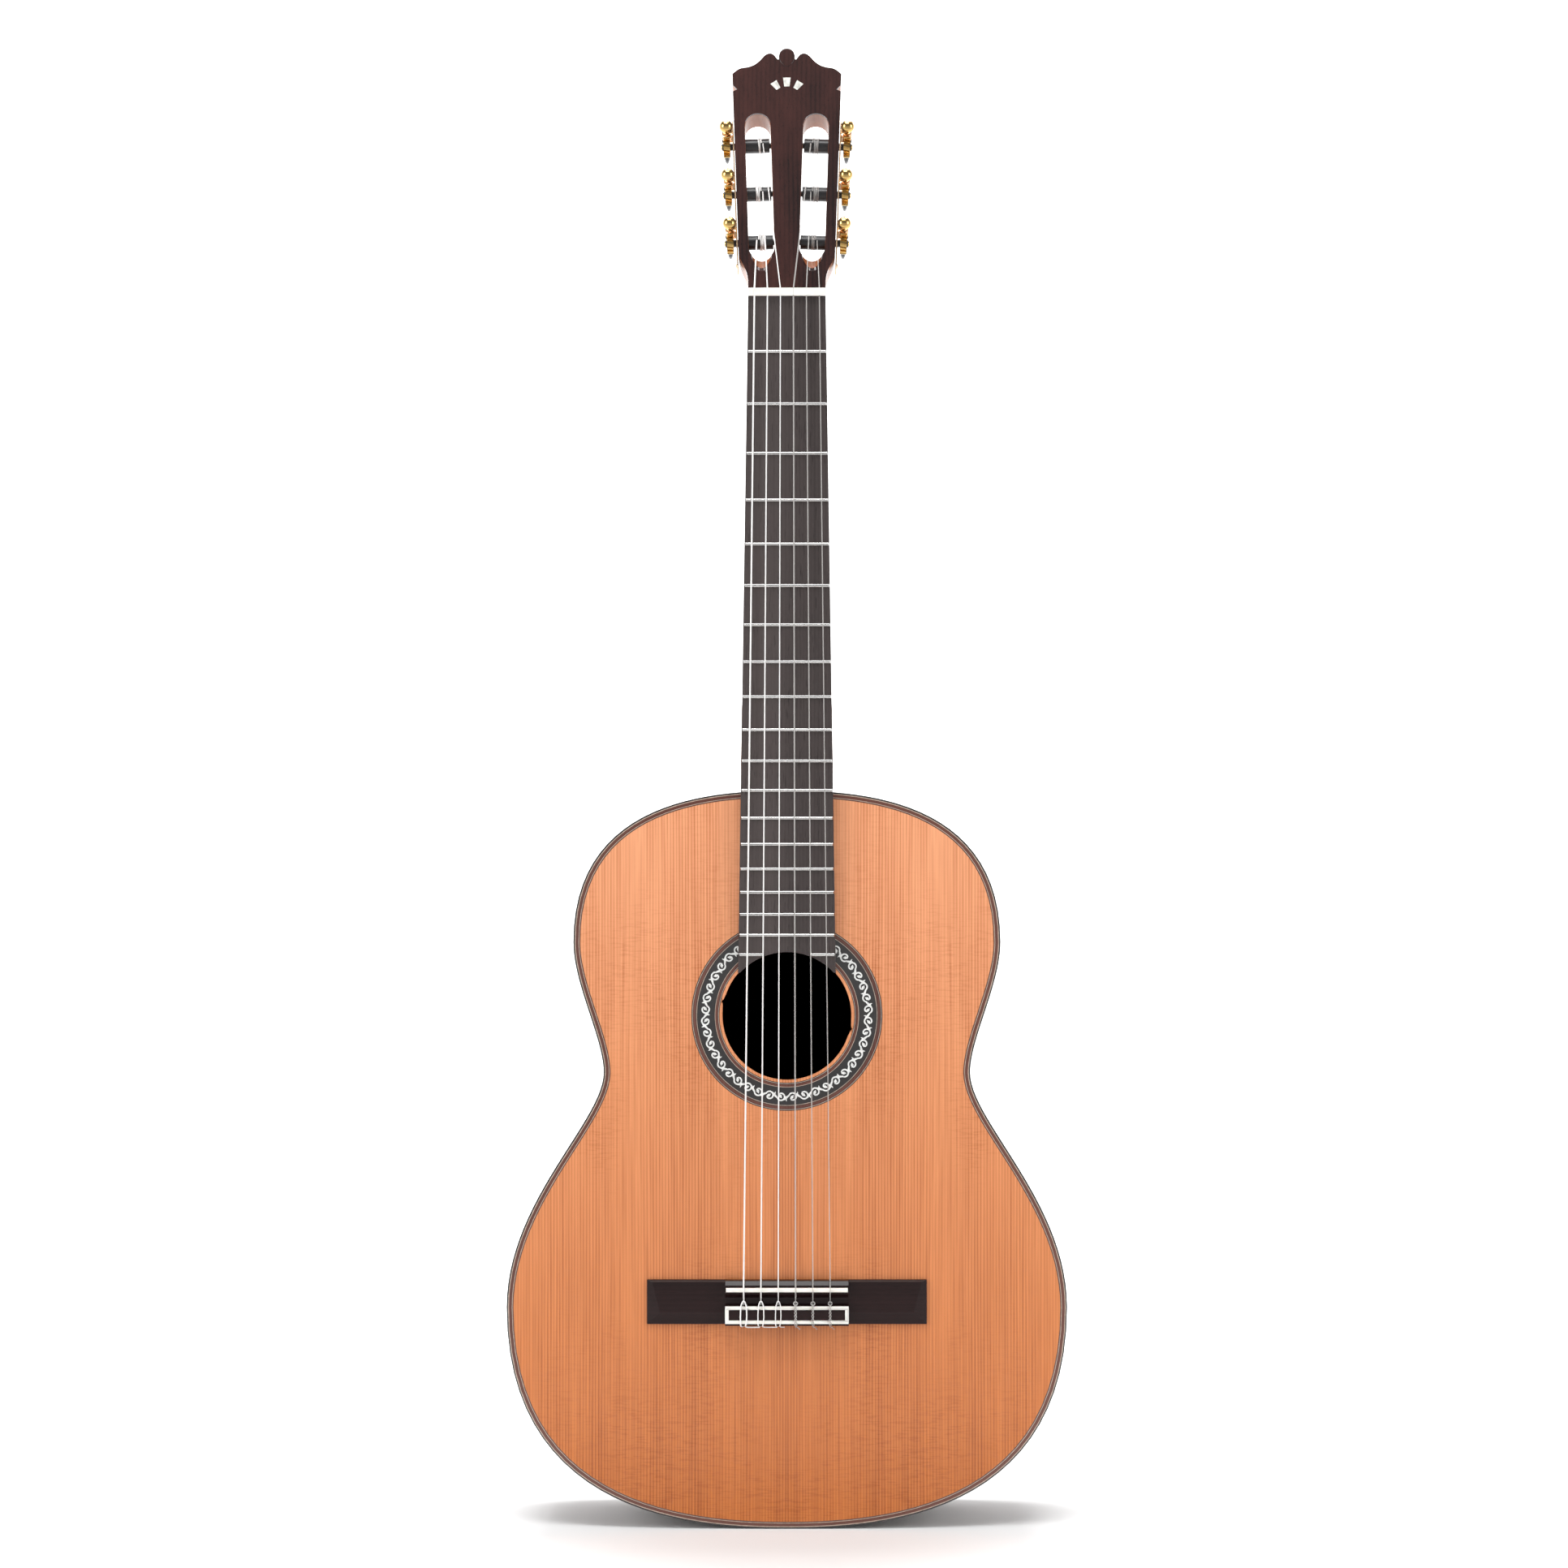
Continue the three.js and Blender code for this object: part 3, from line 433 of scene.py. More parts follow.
def tube(points, radius, radii=None, fine=2, closed=False):
    curve = bpy.data.curves.new("run", "CURVE")
    curve.dimensions = "3D"
    spline = curve.splines.new("POLY")
    spline.points.add(len(points) - 1)
    for spot, point, share in zip(spline.points, points, radii or [1] * len(points)):
        spot.co = (*point, 1)
        spot.radius = share
    spline.use_cyclic_u = closed
    curve.bevel_depth = radius
    curve.bevel_resolution = fine
    curve.use_fill_caps = not closed
    holder = bpy.data.objects.new("run", curve)
    bm = bmesh.new()
    bm.from_mesh(holder.to_mesh())
    holder.to_mesh_clear()
    bpy.data.objects.remove(holder)
    bpy.data.curves.remove(curve)
    bmesh.ops.remove_doubles(bm, verts=bm.verts, dist=0.0005)
    return bm


# A path with each corner rounded off
def eased(points, reach=1.5, steps=4):
    path = [points[0]]
    for before, corner, after in zip(points, points[1:], points[2:]):
        start = corner + (before - corner).normalized() * min(reach, (before - corner).length * 0.45)
        end = corner + (after - corner).normalized() * min(reach, (after - corner).length * 0.45)
        for step in range(steps + 1):
            t = step / steps
            path.append(start * (1 - t) ** 2 + corner * 2 * t * (1 - t) + end * t * t)
    return path + [points[-1]]


def loopOf(bm, points, closed=True):
    verts = [bm.verts.new(point) for point in points]
    edges = [bm.edges.new(pair) for pair in zip(verts, verts[1:])]
    if closed:
        edges.append(bm.edges.new((verts[-1], verts[0])))
    return edges


def bridge(bm, loops, bands=None, closed=False):
    pairs = list(zip(loops, loops[1:]))
    if closed:
        pairs.append((loops[-1], loops[0]))
    for place, (first, second) in enumerate(pairs):
        made = bmesh.ops.bridge_loops(bm, edges=first + second)["faces"]
        for face in made:
            face.material_index = bands[place] if bands else 0


def looseObject(bm):
    data = bpy.data.meshes.new("loose")
    bm.to_mesh(data)
    bm.free()
    holder = bpy.data.objects.new("loose", data)
    collection.objects.link(holder)
    return holder


# Joins or cuts a closed shape with others
def carve(bm, tools, operation="DIFFERENCE"):
    holders = [looseObject(bm)] + [looseObject(tool) for tool in tools]
    for tool in holders[1:]:
        modifier = holders[0].modifiers.new("carve", "BOOLEAN")
        modifier.operation = operation
        modifier.solver = "EXACT"
        modifier.object = tool
    evaluated = holders[0].evaluated_get(bpy.context.evaluated_depsgraph_get())
    result = bmesh.new()
    result.from_mesh(evaluated.to_mesh())
    evaluated.to_mesh_clear()
    for holder in holders:
        data = holder.data
        bpy.data.objects.remove(holder)
        bpy.data.meshes.remove(data)
    return result


# ---------- body ----------

bodyShape = {
    "curves": [((0, 0), (57, 0), (185, 6), (185, 146)),
               ((185, 146), (185, 216), (121, 269), (121, 301)),
               ((121, 301), (121, 323), (141, 359), (141, 387)),
               ((141, 387), (141, 482), (48, 487), (0, 487))],
    "steps": 26,
    "depth": 96,
    "top": 487,
    "holeZ": 338.7,
    "holeRadius": 41.9,
    "plate": 2.5,
    "rib": 2.2,
}


def curvePoint(handles, t):
    a, b, c, d = (Vector(handle) for handle in handles)
    point = a * (1 - t) ** 3 + b * 3 * t * (1 - t) ** 2 + c * 3 * t * t * (1 - t) + d * t ** 3
    along = (b - a) * (1 - t) ** 2 + (c - b) * 2 * t * (1 - t) + (d - c) * t * t
    return point, along.normalized()


# Half of the outline from the tail up the treble side, as (x, z, distance along it)
def halfOutline(inset):
    half = []
    length = 0
    before = Vector((0, 0))
    for index, handles in enumerate(bodyShape["curves"]):
        for step in range(1 if index else 0, bodyShape["steps"] + 1):
            point, along = curvePoint(handles, step / bodyShape["steps"])
            length += (point - before).length
            before = point
            half.append((point.x - along.y * inset, point.y + along.x * inset, length))
    half[0] = (0, *half[0][1:])
    half[-1] = (0, *half[-1][1:])
    return half


def outlineLoop(bm, inset, y):
    half = halfOutline(inset)
    run = bm.verts.layers.float_vector.get("run") or bm.verts.layers.float_vector.new("run")
    places = [(x, z, length) for x, z, length in half]
    places += [(-x, z, -length) for x, z, length in half[-2:0:-1]]
    edges = loopOf(bm, [(x, y, z) for x, z, _ in places])
    for edge, (_, _, length) in zip(edges, places):
        edge.verts[0][run] = Vector((y, inset, length)) * mm
    return edges


def circleLoop(bm, radius, y, count=96):
    turns = [wholeTurn * step / count for step in range(count)]
    return loopOf(bm, [(radius * math.cos(turn), y, bodyShape["holeZ"] + radius * math.sin(turn))
                       for turn in turns])


def makeSoundboard():
    edge = {"purfling": 4.72, "purflingDepth": 1.22, "inset": 2.5,
            "channel": (44.45, 63.05), "channelDepth": 1.0}
    plate, hole = bodyShape["plate"], bodyShape["holeRadius"]
    bm = bmesh.new()
    outer = [outlineLoop(bm, inset, y) for inset, y in (
        (edge["purfling"], 0), (edge["purfling"], edge["purflingDepth"]),
        (edge["inset"], edge["purflingDepth"]), (edge["inset"], plate))]
    bridge(bm, outer)
    channelInner, channelOuter = edge["channel"]
    inner = [circleLoop(bm, radius, y) for radius, y in (
        (channelOuter, 0), (channelOuter, edge["channelDepth"]), (channelInner, edge["channelDepth"]),
        (channelInner, 0), (hole + 0.6, 0), (hole + 0.18, 0.18), (hole, 0.6), (hole, plate))]
    bridge(bm, inner)
    bmesh.ops.triangle_fill(bm, use_beauty=True, use_dissolve=False, edges=outer[0] + inner[0])
    bmesh.ops.triangle_fill(bm, use_beauty=True, use_dissolve=False, edges=outer[-1] + inner[-1])
    finishPiece("soundboard_top", bm, ["cedar"], ["soundboard"])


# Bands across a binding and its purfling: where each ends, and its material
def makeBindings():
    front = {"bands": [(1.1, 1), (1.7, 2), (3.6, 0), (4.0, 2), (4.7, 3)], "under": 1.2}
    rear = {"bands": [(2.2, 0), (2.7, 2), (3.2, 1)], "under": 1.2}
    depth, wall = 6, bodyShape["rib"]
    names = ["binding", "blackLineAndEdgeShade", "paleLine", "darkLine"]
    places = (("top_binding_lines", "top_binding", front, 0, 1),
              ("back_binding_lines", "back_binding", rear, bodyShape["depth"], -1))
    for name, node, binding, face, inwards in places:
        first = binding["bands"][0][1]
        # On the front binding the first band, black, covers the outer side and the rounded edge: painted
        # shade for the dark that the rounded-over edge shows
        stations = [(0, depth, 2), (0, depth - 0.6, first), (0, 0.7, first), (0.2, 0.2, first),
                    (0.7, 0, first)]
        for end, band in binding["bands"]:
            stations[-1] = (*stations[-1][:2], band)
            stations.append((end, 0, band))
        last = binding["bands"][-1][0]
        stations += [(last, binding["under"], 0), (wall, binding["under"], 0), (wall, depth, 0)]
        bm = bmesh.new()
        loops = [outlineLoop(bm, inset, face + inwards * y) for inset, y, _ in stations]
        bridge(bm, loops, [band for _, _, band in stations], closed=True)
        finishPiece(name, bm, names, [node])


def makeBack():
    inlay = {"half": 3.0, "line": 0.8, "low": 3.4, "high": 483.4, "proud": 0.05}
    edge, depth = 3.22, bodyShape["depth"]
    bm = bmesh.new()
    loops = [outlineLoop(bm, inset, y) for inset, y in (
        (edge, depth - inlay["proud"]), (edge, depth - 1.22), (bodyShape["plate"], depth - 1.22),
        (bodyShape["plate"], depth - bodyShape["plate"]))]
    bridge(bm, loops)
    bmesh.ops.triangle_fill(bm, use_beauty=True, use_dissolve=False, edges=loops[0])
    bmesh.ops.triangle_fill(bm, use_beauty=True, use_dissolve=False, edges=loops[-1])
    finishPiece("back_plate", bm, ["rosewoodBack"], ["back"])
    strip = block((-inlay["half"] + inlay["line"], depth - 1, inlay["low"]),
                  (inlay["half"] - inlay["line"], depth, inlay["high"]))
    for side in (-1, 1):
        near, far = sorted((side * inlay["half"], side * (inlay["half"] - inlay["line"])))
        joinInto(strip, paint(block((near, depth - 1, inlay["low"]), (far, depth, inlay["high"])), 1))
    finishPiece("back_centre_strip", strip, ["darkLine", "paleLine"])


def makeRibs():
    wall = {"front": 6.0, "back": 90.0, "tailGap": 0.1, "neckHalf": 9.3}
    strip = {"half": 3.2, "line": 0.8, "deep": 1.5, "lift": 0.25}
    for name, node, side in (("bass_rib", "rib_bass", -1), ("treble_rib", "rib_treble", 1)):
        bm = bmesh.new()
        run = bm.verts.layers.float_vector.new("run")
        loops = []
        for inset, y in ((0, wall["front"]), (0, wall["back"]), (bodyShape["rib"], wall["back"]),
                         (bodyShape["rib"], wall["front"])):
            half = halfOutline(inset)
            half[0] = (wall["tailGap"], *half[0][1:])
            half[-1] = (wall["neckHalf"], *half[-1][1:])
            verts = [bm.verts.new((side * x, y, z)) for x, z, _ in half]
            for vert, (_, _, length) in zip(verts, half):
                vert[run] = Vector((y + 200 * side, inset, length)) * mm
            loops.append([bm.edges.new(pair) for pair in zip(verts, verts[1:])])
        bridge(bm, loops, closed=True)
        bmesh.ops.holes_fill(bm, edges=bm.edges[:])
        finishPiece(name, bm, ["rosewoodRib"], [node])
    half = strip["half"]
    bm = block((-half, wall["front"], -strip["lift"]), (half, wall["back"], strip["deep"]), 0.1, 1)
    for side in (-1, 1):
        near, far = sorted((side * half, side * (half + strip["line"])))
        joinInto(bm, paint(block((near, wall["front"], -0.2), (far, wall["back"], strip["deep"])), 1))
    bmesh.ops.translate(bm, vec=(0, 0, strip["lift"]), verts=bm.verts)
    finishPiece("tail_strip", bm, ["darkLine", "paleLine"])


def makeLabel():
    label = {"half": 41.0, "low": 297.2, "high": 356.3, "border": 3.2, "line": 0.6, "thickness": 0.25}
    inside = bodyShape["depth"] - bodyShape["plate"]
    bm = block((-label["half"], inside - label["thickness"], label["low"]),
               (label["half"], inside, label["high"]))
    front = min(bm.faces, key=lambda face: face.calc_center_median().y)
    bmesh.ops.inset_individual(bm, faces=[front], thickness=label["border"], use_even_offset=True)
    line = bmesh.ops.inset_individual(bm, faces=[front], thickness=label["line"], use_even_offset=True)
    for face in line["faces"]:
        face.material_index = 1
    finishPiece("label", bm, ["labelPaper", "labelLine"])


# Scroll and leaf chain laid into the dark ring: each curl ends in a small leaf, and the curls
# alternate between the two sides of a wave
scrollShape = {"curls": 44, "radius": 53.8, "thick": 0.5, "curlRadius": 2.55, "rise": 0.25}


def onRing(along, outwards, y):
    turn = along / scrollShape["radius"] - math.pi / 2
    radius = scrollShape["radius"] + outwards
    return Vector((radius * math.cos(turn), y, bodyShape["holeZ"] + radius * math.sin(turn)))


def makeScroll():
    pitch = wholeTurn * scrollShape["radius"] / scrollShape["curls"]
    bm = bmesh.new()
    for curl in range(scrollShape["curls"]):
        side = 1 if curl % 2 else -1
        middle = pitch * (curl + 0.5)
        path = []
        for step in range(15):
            turn = math.radians(172 - step * 21.5)
            size = scrollShape["curlRadius"] * (1.02 - 0.012 * step)
            path.append((middle + size * math.cos(turn), side * size * math.sin(turn)))
        link = [(middle + 1.6, side * 2.0), (middle + 2.9, side * 0.9), (middle + pitch - 2.4, -side * 0.9)]
        leaf = [(middle - 1.6, -side * 1.5), (middle - 0.4, -side * 0.2), (middle + 0.6, side * 0.9)]
        spur = [(middle + 2.6, side * 0.8), (middle + 3.5, side * 2.0), (middle + 3.6, side * 3.0)]
        shares = {"curl": [0.8, 0.9] + [1.0] * 11 + [0.9, 0.7], "link": [1.0, 1.7, 0.9],
                  "leaf": [0.9, 2.0, 0.2], "spur": [1.2, 0.9, 0.15]}
        for points, radii in ((path, shares["curl"]), (link, shares["link"]), (leaf, shares["leaf"]),
                              (spur, shares["spur"])):
            joinInto(bm, tube([onRing(along, outwards, 0) for along, outwards in points],
                              scrollShape["thick"], radii, fine=0))
    bmesh.ops.scale(bm, vec=(1, scrollShape["rise"], 1), verts=bm.verts)
    finishPiece("rosette_scroll", bm, ["scroll"], smooth=60)


def makeRosette():
    rings = [(44.5, 44.9, 0), (44.9, 45.25, 2), (45.25, 45.6, 0), (45.6, 47.2, 1), (47.2, 47.55, 2),
             (47.55, 59.3, 0), (59.3, 59.65, 2), (59.65, 60.0, 0), (60.0, 61.8, 1), (61.8, 62.1, 0),
             (62.1, 62.45, 2), (62.45, 63.0, 0)]
    start, end = rings[0][0], rings[-1][1]
    profile = [(start, -1.0)] + [(inner, 0) for inner, _, _ in rings] + [(end, 0), (end, -1.0)]
    bm = turned(profile, 144, closed=True)
    for face in bm.faces:
        center = face.calc_center_median()
        radius = math.hypot(center.x, center.y)
        for inner, outer, band in rings:
            if inner < radius < outer + 0.05:
                face.material_index = band
    place = Matrix.Translation((0, 0, bodyShape["holeZ"])) @ Matrix.Rotation(math.pi / 2, 4, "X")
    finishPiece("rosette_rings", bm, ["blackLineAndEdgeShade", "rosetteRing", "paleLine"], ["rosette"],
                place=place)


makeSoundboard()
makeBindings()
makeBack()
makeRibs()
makeLabel()
makeRosette()
makeScroll()
print("body made")


# ---------- neck and head ----------

headShape = {"tilt": math.radians(15), "foot": 817.5, "thickness": 18.5, "veneer": 1.5}
headFrame = (Matrix.Translation((0, 0, headShape["foot"]))
             @ Matrix.Rotation(math.pi / 2 - headShape["tilt"], 4, "X"))
neckShape = {"nut": 817.2, "nutHalf": 25.5, "nutDepth": 16, "root": 485.8, "rootHalf": 30.36, "rootDepth": 18,
             "heelTop": 545.3, "heelDepth": 93, "capHalf": 13, "tipHalf": 8.5}


def quadratic(a, b, c, t):
    return a * (1 - t) ** 2 + b * 2 * t * (1 - t) + c * t * t


def headOutline(low):
    half = [(25.5, low), (25.5, 4)]
    curves = [((25.5, 4), (25.5, 14), (31, 18), (32, 27)),
              ((29.5, 159.5), (17, 160.5), (17, 170.2), (11.4, 170.2)),
              ((11.4, 170.2), (8.5, 170.2), (7.5, 167), (6.1, 165.7)),
              ((5.2, 166), (5.6, 171), (3.5, 174), (0, 174))]
    half += [tuple(curvePoint(curves[0], step / 12)[0]) for step in range(1, 13)]
    half += [(36.2, 142.3), (33.3, 143.7), (36.2, 147), (36.6, 155)]
    half += [(quadratic(36.6, 32.5, 29.5, step / 6), quadratic(155, 159.4, 159.5, step / 6))
             for step in range(1, 7)]
    for handles in curves[1:3]:
        half += [tuple(curvePoint(handles, step / 12)[0]) for step in range(1, 13)]
    half += [tuple(curvePoint(curves[3], step / 10)[0]) for step in range(0, 11)]
    return half + [(-x, y) for x, y in half[-2::-1]]


# String slots: straight sides between two round ends, leaning with the head's sides
slotShape = {"foot": 21.2, "top": 126, "half": 8.6, "footX": 16.7, "topX": 19.5, "rampRadius": 6.9,
             "rampTilt": math.radians(28), "rampFoot": 14.6}


def slotCutter(side, grow=0.0):
    half = slotShape["half"] + grow
    low = (slotShape["footX"], slotShape["foot"] + slotShape["half"])
    high = (slotShape["topX"], slotShape["top"] - slotShape["half"])
    points = []
    for (x, y), start in ((high, 0), (low, math.pi)):
        for step in range(17):
            turn = start + math.pi * step / 16
            points.append((side * (x + half * math.cos(turn)), y + half * math.sin(turn)))
    return prism(points if side > 0 else points[::-1], -40, 20)


def rampCutter(side):
    bm = turned([(0, -5), (slotShape["rampRadius"], -5), (slotShape["rampRadius"], 35), (0, 35)], 40)
    tilt = Matrix.Rotation(math.pi / 2 - slotShape["rampTilt"] - math.pi, 4, "X")
    bm.transform(Matrix.Translation((side * slotShape["footX"], slotShape["rampFoot"], 8)) @ tilt)
    return bm


rollerAlong = (36.4, 71.4, 106.4)
rollerDepth = -8.5


def machineFrame(side):
    turn = Matrix.Rotation(math.radians(-2.1 * side), 4, "Z")
    return Matrix.Translation((side * 31.016, 0, 0)) @ turn


# A turned shape whose axis runs across the head, outwards on its own side
def sideways(bm, side, along=0.0, depth=0.0, out=0.0):
    bm.transform(Matrix.Translation((side * out, along, depth)) @ Matrix.Rotation(side * math.pi / 2, 4, "Y"))
    return bm


def neckRing(bm, z, half, tip, depth, square):
    points = []
    for step in range(33):
        turn = math.pi * step / 32
        c, s = math.cos(turn), math.sin(turn)
        y = depth * s ** (0.8 + 0.2 * square)
        width = half + (tip - half) * (y / depth)
        points.append((math.copysign(abs(c) ** (0.8 - 0.55 * square), c) * width, y, z))
    return loopOf(bm, points)


def makeNeck():
    shape = neckShape
    bm = bmesh.new()
    rings = []
    for step in range(9):
        share = step / 8
        z = shape["nut"] + (shape["heelTop"] - shape["nut"]) * share
        whole = (shape["nut"] - z) / (shape["nut"] - 487)
        half = shape["nutHalf"] + (shape["rootHalf"] - shape["nutHalf"]) * whole
        depth = shape["nutDepth"] + (shape["rootDepth"] - shape["nutDepth"]) * whole
        rings.append(neckRing(bm, z, half, half, depth, 0))
    heel = ((0, depth), (24, 26), (34, 60), (38, shape["heelDepth"]))
    for step in range(1, 17):
        t = step / 16
        drop, deep = curvePoint(heel, t)[0]
        tip = half + (shape["tipHalf"] - half) * min(1, (deep - depth) / (shape["heelDepth"] - depth) * 1.15)
        wide = shape["rootHalf"] - 0.6 * (1 - t)
        rings.append(neckRing(bm, shape["heelTop"] - drop, wide, tip, deep, t ** 2))
    for z, tip in ((503, 10.6), (497, 12.2), (491, 12.9), (shape["root"], shape["capHalf"])):
        rings.append(neckRing(bm, z, shape["rootHalf"], tip, shape["heelDepth"], 1))
    bridge(bm, rings)
    bmesh.ops.holes_fill(bm, edges=bm.edges[:])
    bmesh.ops.recalc_face_normals(bm, faces=bm.faces)
    head = prism(headOutline(-12), -headShape["thickness"], 0)
    bevelEdges(head, edgesWhere(head, lambda spot: spot.z < -headShape["thickness"] + 0.01), 0.8, 2)
    trim = block((-60, -30, -60), (60, 0, headShape["foot"] - 817.5 + 0.2))
    trim.transform(Matrix.Translation((0, 0, 817.3)))
    head.transform(headFrame)
    head = carve(head, [trim])
    cutters = [slotCutter(side) for side in (-1, 1)] + [rampCutter(side) for side in (-1, 1)]
    for side in (-1, 1):
        for along in rollerAlong:
            bore = sideways(turned([(0, -12), (5.05, -12), (5.05, 3), (0, 3)], 28), side, along, rollerDepth)
            pinHole = turned([(0, -28), (2.3, -28), (2.3, -14), (0, -14)], 20)
            for cutter in (bore, sideways(pinHole, side, along, rollerDepth)):
                cutter.transform(machineFrame(side))
                cutters.append(cutter)
    for cutter in cutters:
        cutter.transform(headFrame)
    bm = carve(bm, [head], "UNION")
    bm = carve(bm, cutters)
    finishPiece("neck_and_head", bm, ["mahogany"], ["neck"])


def makeHeelCap():
    cap = {"thickness": 3.0,
           "outline": [(13, 486.4), (12.7, 492), (11.9, 498), (10.4, 503), (8.2, 506.2), (5, 507.2)]}
    points = cap["outline"] + [(-x, z) for x, z in cap["outline"][::-1]]
    bm = prism(points, -bodyShape["depth"], cap["thickness"] - bodyShape["depth"])
    bevelEdges(bm, edgesWhere(bm, lambda spot: spot.z < 0.1 - bodyShape["depth"]), 0.7, 3)
    finishPiece("heel_cap_plate", bm, ["rosewoodBack"], ["heel_cap"],
                place=Matrix.Rotation(math.pi / 2, 4, "X"))


def makeVeneer():
    bm = carve(prism(headOutline(0.4), 0.02, headShape["veneer"]),
               [slotCutter(side, 0.1) for side in (-1, 1)] + [rampCutter(side) for side in (-1, 1)])
    top = headShape["veneer"]
    rim = [edge for edge in sharpEdges(bm) if all(vert.co.z > top - 0.01 for vert in edge.verts)]
    bevelEdges(bm, rim, 0.45, 2)
    finishPiece("head_face_veneer", bm, ["veneer"], ["head_veneer"], place=headFrame)


# The raised bud in the middle of the crest, and the three pearl pieces fanned below it
def makeHeadInlays():
    top = headShape["veneer"]
    side = [(0, 159.9), (2.1, 161.2), (4.2, 163.4), (5.3, 165.9), (5.4, 168.6), (4.6, 171.4), (2.9, 173.2),
            (0, 173.9)]
    outline = side + [(-x, y) for x, y in side[-2:0:-1]]
    bud = prism(outline, top - 0.4, top + 0.55)
    bevelEdges(bud, edgesWhere(bud, lambda spot: spot.z > top), 0.7, 4)
    finishPiece("crest_bud", bud, ["veneer"], place=headFrame)
    pearls = [(0, 149.1, 0, 5.1, 3.6, 6.5), (-7.3, 146.6, 34, 5.0, 3.1, 6.0),  # place, lean, widths, height
              (7.3, 146.6, -34, 5.0, 3.1, 6.0)]
    bm = bmesh.new()
    for x, y, lean, wide, narrow, tall in pearls:
        points = [(-narrow / 2, -tall / 2), (narrow / 2, -tall / 2),
                  (wide / 2, tall / 2), (-wide / 2, tall / 2)]
        pearl = prism(points, top - 0.3, top + 0.06)
        pearl.transform(Matrix.Translation((x, y, 0)) @ Matrix.Rotation(math.radians(lean), 4, "Z"))
        joinInto(bm, pearl)
    finishPiece("head_pearls", bm, ["pearl"], place=headFrame)


makeNeck()
makeHeelCap()
makeVeneer()
makeHeadInlays()
print("neck and head made")


# ---------- fingerboard, frets, nut ----------

boardShape = {"nut": 812.0, "end": 367.0, "nutHalf": 25.5, "endHalf": 32.15, "thickness": 6.5, "scale": 650.0,
              "frets": 19, "crown": (2.2, 1.1)}


def boardHalf(z):
    share = (z - boardShape["end"]) / (boardShape["nut"] - boardShape["end"])
    return boardShape["endHalf"] + (boardShape["nutHalf"] - boardShape["endHalf"]) * share


def makeBoard():
    radius, centre = bodyShape["holeRadius"], bodyShape["holeZ"]
    start = math.asin((boardShape["end"] - centre) / radius)
    turns = [start + (math.pi - 2 * start) * step / 32 for step in range(33)]
    arc = [(radius * math.cos(turn), centre + radius * math.sin(turn)) for turn in turns]
    points = [(boardShape["nutHalf"], boardShape["nut"]), (boardShape["endHalf"], boardShape["end"])] + arc
    points += [(-boardShape["endHalf"], boardShape["end"]), (-boardShape["nutHalf"], boardShape["nut"])]
    bm = prism(points, 0, boardShape["thickness"])
    bevelEdges(bm, edgesWhere(bm, lambda spot: spot.z > boardShape["thickness"] - 0.01), 0.4, 2)
    finishPiece("fingerboard", bm, ["board"], ["fretboard"],
                place=Matrix.Rotation(math.pi / 2, 4, "X"))


def fretBar(z, low, high):
    width, height = boardShape["crown"]
    face, sunk, steps = -boardShape["thickness"], -boardShape["thickness"] + 1, 8
    arc = [(face - height * math.sin(math.pi * step / steps),
            z - width / 2 * math.cos(math.pi * step / steps)) for step in range(steps + 1)]
    outline = [(sunk, z + width / 2)] + arc[::-1] + [(sunk, z - width / 2)]
    bm = prism([(b, a) for a, b in outline], low, high)
    bm.transform(Matrix(((0, 0, 1, 0), (0, 1, 0, 0), (1, 0, 0, 0), (0, 0, 0, 1))))
    for vert in bm.verts:
        lift = max(0, face - vert.co.y)
        for end, towards in ((low, 1), (high, -1)):
            if abs(vert.co.x - end) < 0.01 and abs(end) > 20:
                vert.co.x += towards * lift * 0.7
    return bm


def makeFrets():
    for number in range(1, boardShape["frets"] + 1):
        z = boardShape["nut"] - boardShape["scale"] * (1 - 2 ** (-number / 12))
        half = boardHalf(z) - 0.15
        reach = bodyShape["holeRadius"] ** 2 - (z - 1.2 - bodyShape["holeZ"]) ** 2
        if reach > 0:
            gap = math.sqrt(reach) + 0.2
            bm = joinInto(fretBar(z, gap, half), fretBar(z, -half, -gap))
        else:
            bm = fretBar(z, -half, half)
        finishPiece(f"fret_{number:02d}", bm, ["nickelSilver"])


# Strings, numbered 6 in the bass to 1 in the treble
strings = {
    "radius": {6: 0.55, 5: 0.45, 4: 0.37, 3: 0.51, 2: 0.41, 1: 0.36},
    "nutSpacing": 8.53,
    "saddleSpacing": 11.36,
    "nutY": -8.5,
    "saddleY": -13.0,
    "roller": {6: 0, 5: 1, 4: 2, 3: 2, 2: 1, 1: 0},
    "rollerX": {6: -20, 5: -16, 4: -16, 3: 16, 2: 16, 1: 20},
}


def stringX(number, spacing):
    return (3.5 - number) * spacing


# What a string is made of: wound basses, clear trebles
def stringStuff(number):
    return (["woundWire"], "wound_string") if number > 3 else (["clearNylon"], "nylon")


def makeNut():
    nut = {"half": 25.5, "proud": -9.0, "low": 812, "high": 817.2, "middle": 814.6, "slack": 0.06}
    bm = block((-nut["half"], nut["proud"], nut["low"]), (nut["half"], 0, nut["high"]))
    bevelEdges(bm, edgesWhere(bm, lambda spot: spot.y < nut["proud"] + 1), 0.5, 3)
    cutters = []
    for number, radius in strings["radius"].items():
        x = stringX(number, strings["nutSpacing"])
        wide = radius + nut["slack"]
        groove = turned([(0, -6), (wide, -6), (wide, 6), (0, 6)], 16)
        groove.transform(Matrix.Translation((x, strings["nutY"] + nut["slack"], nut["middle"])))
        cutters.append(groove)
    finishPiece("nut_bone", carve(bm, cutters), ["bone"], ["nut"])


makeBoard()
makeFrets()
makeNut()
print("fingerboard made")


# ---------- bridge ----------

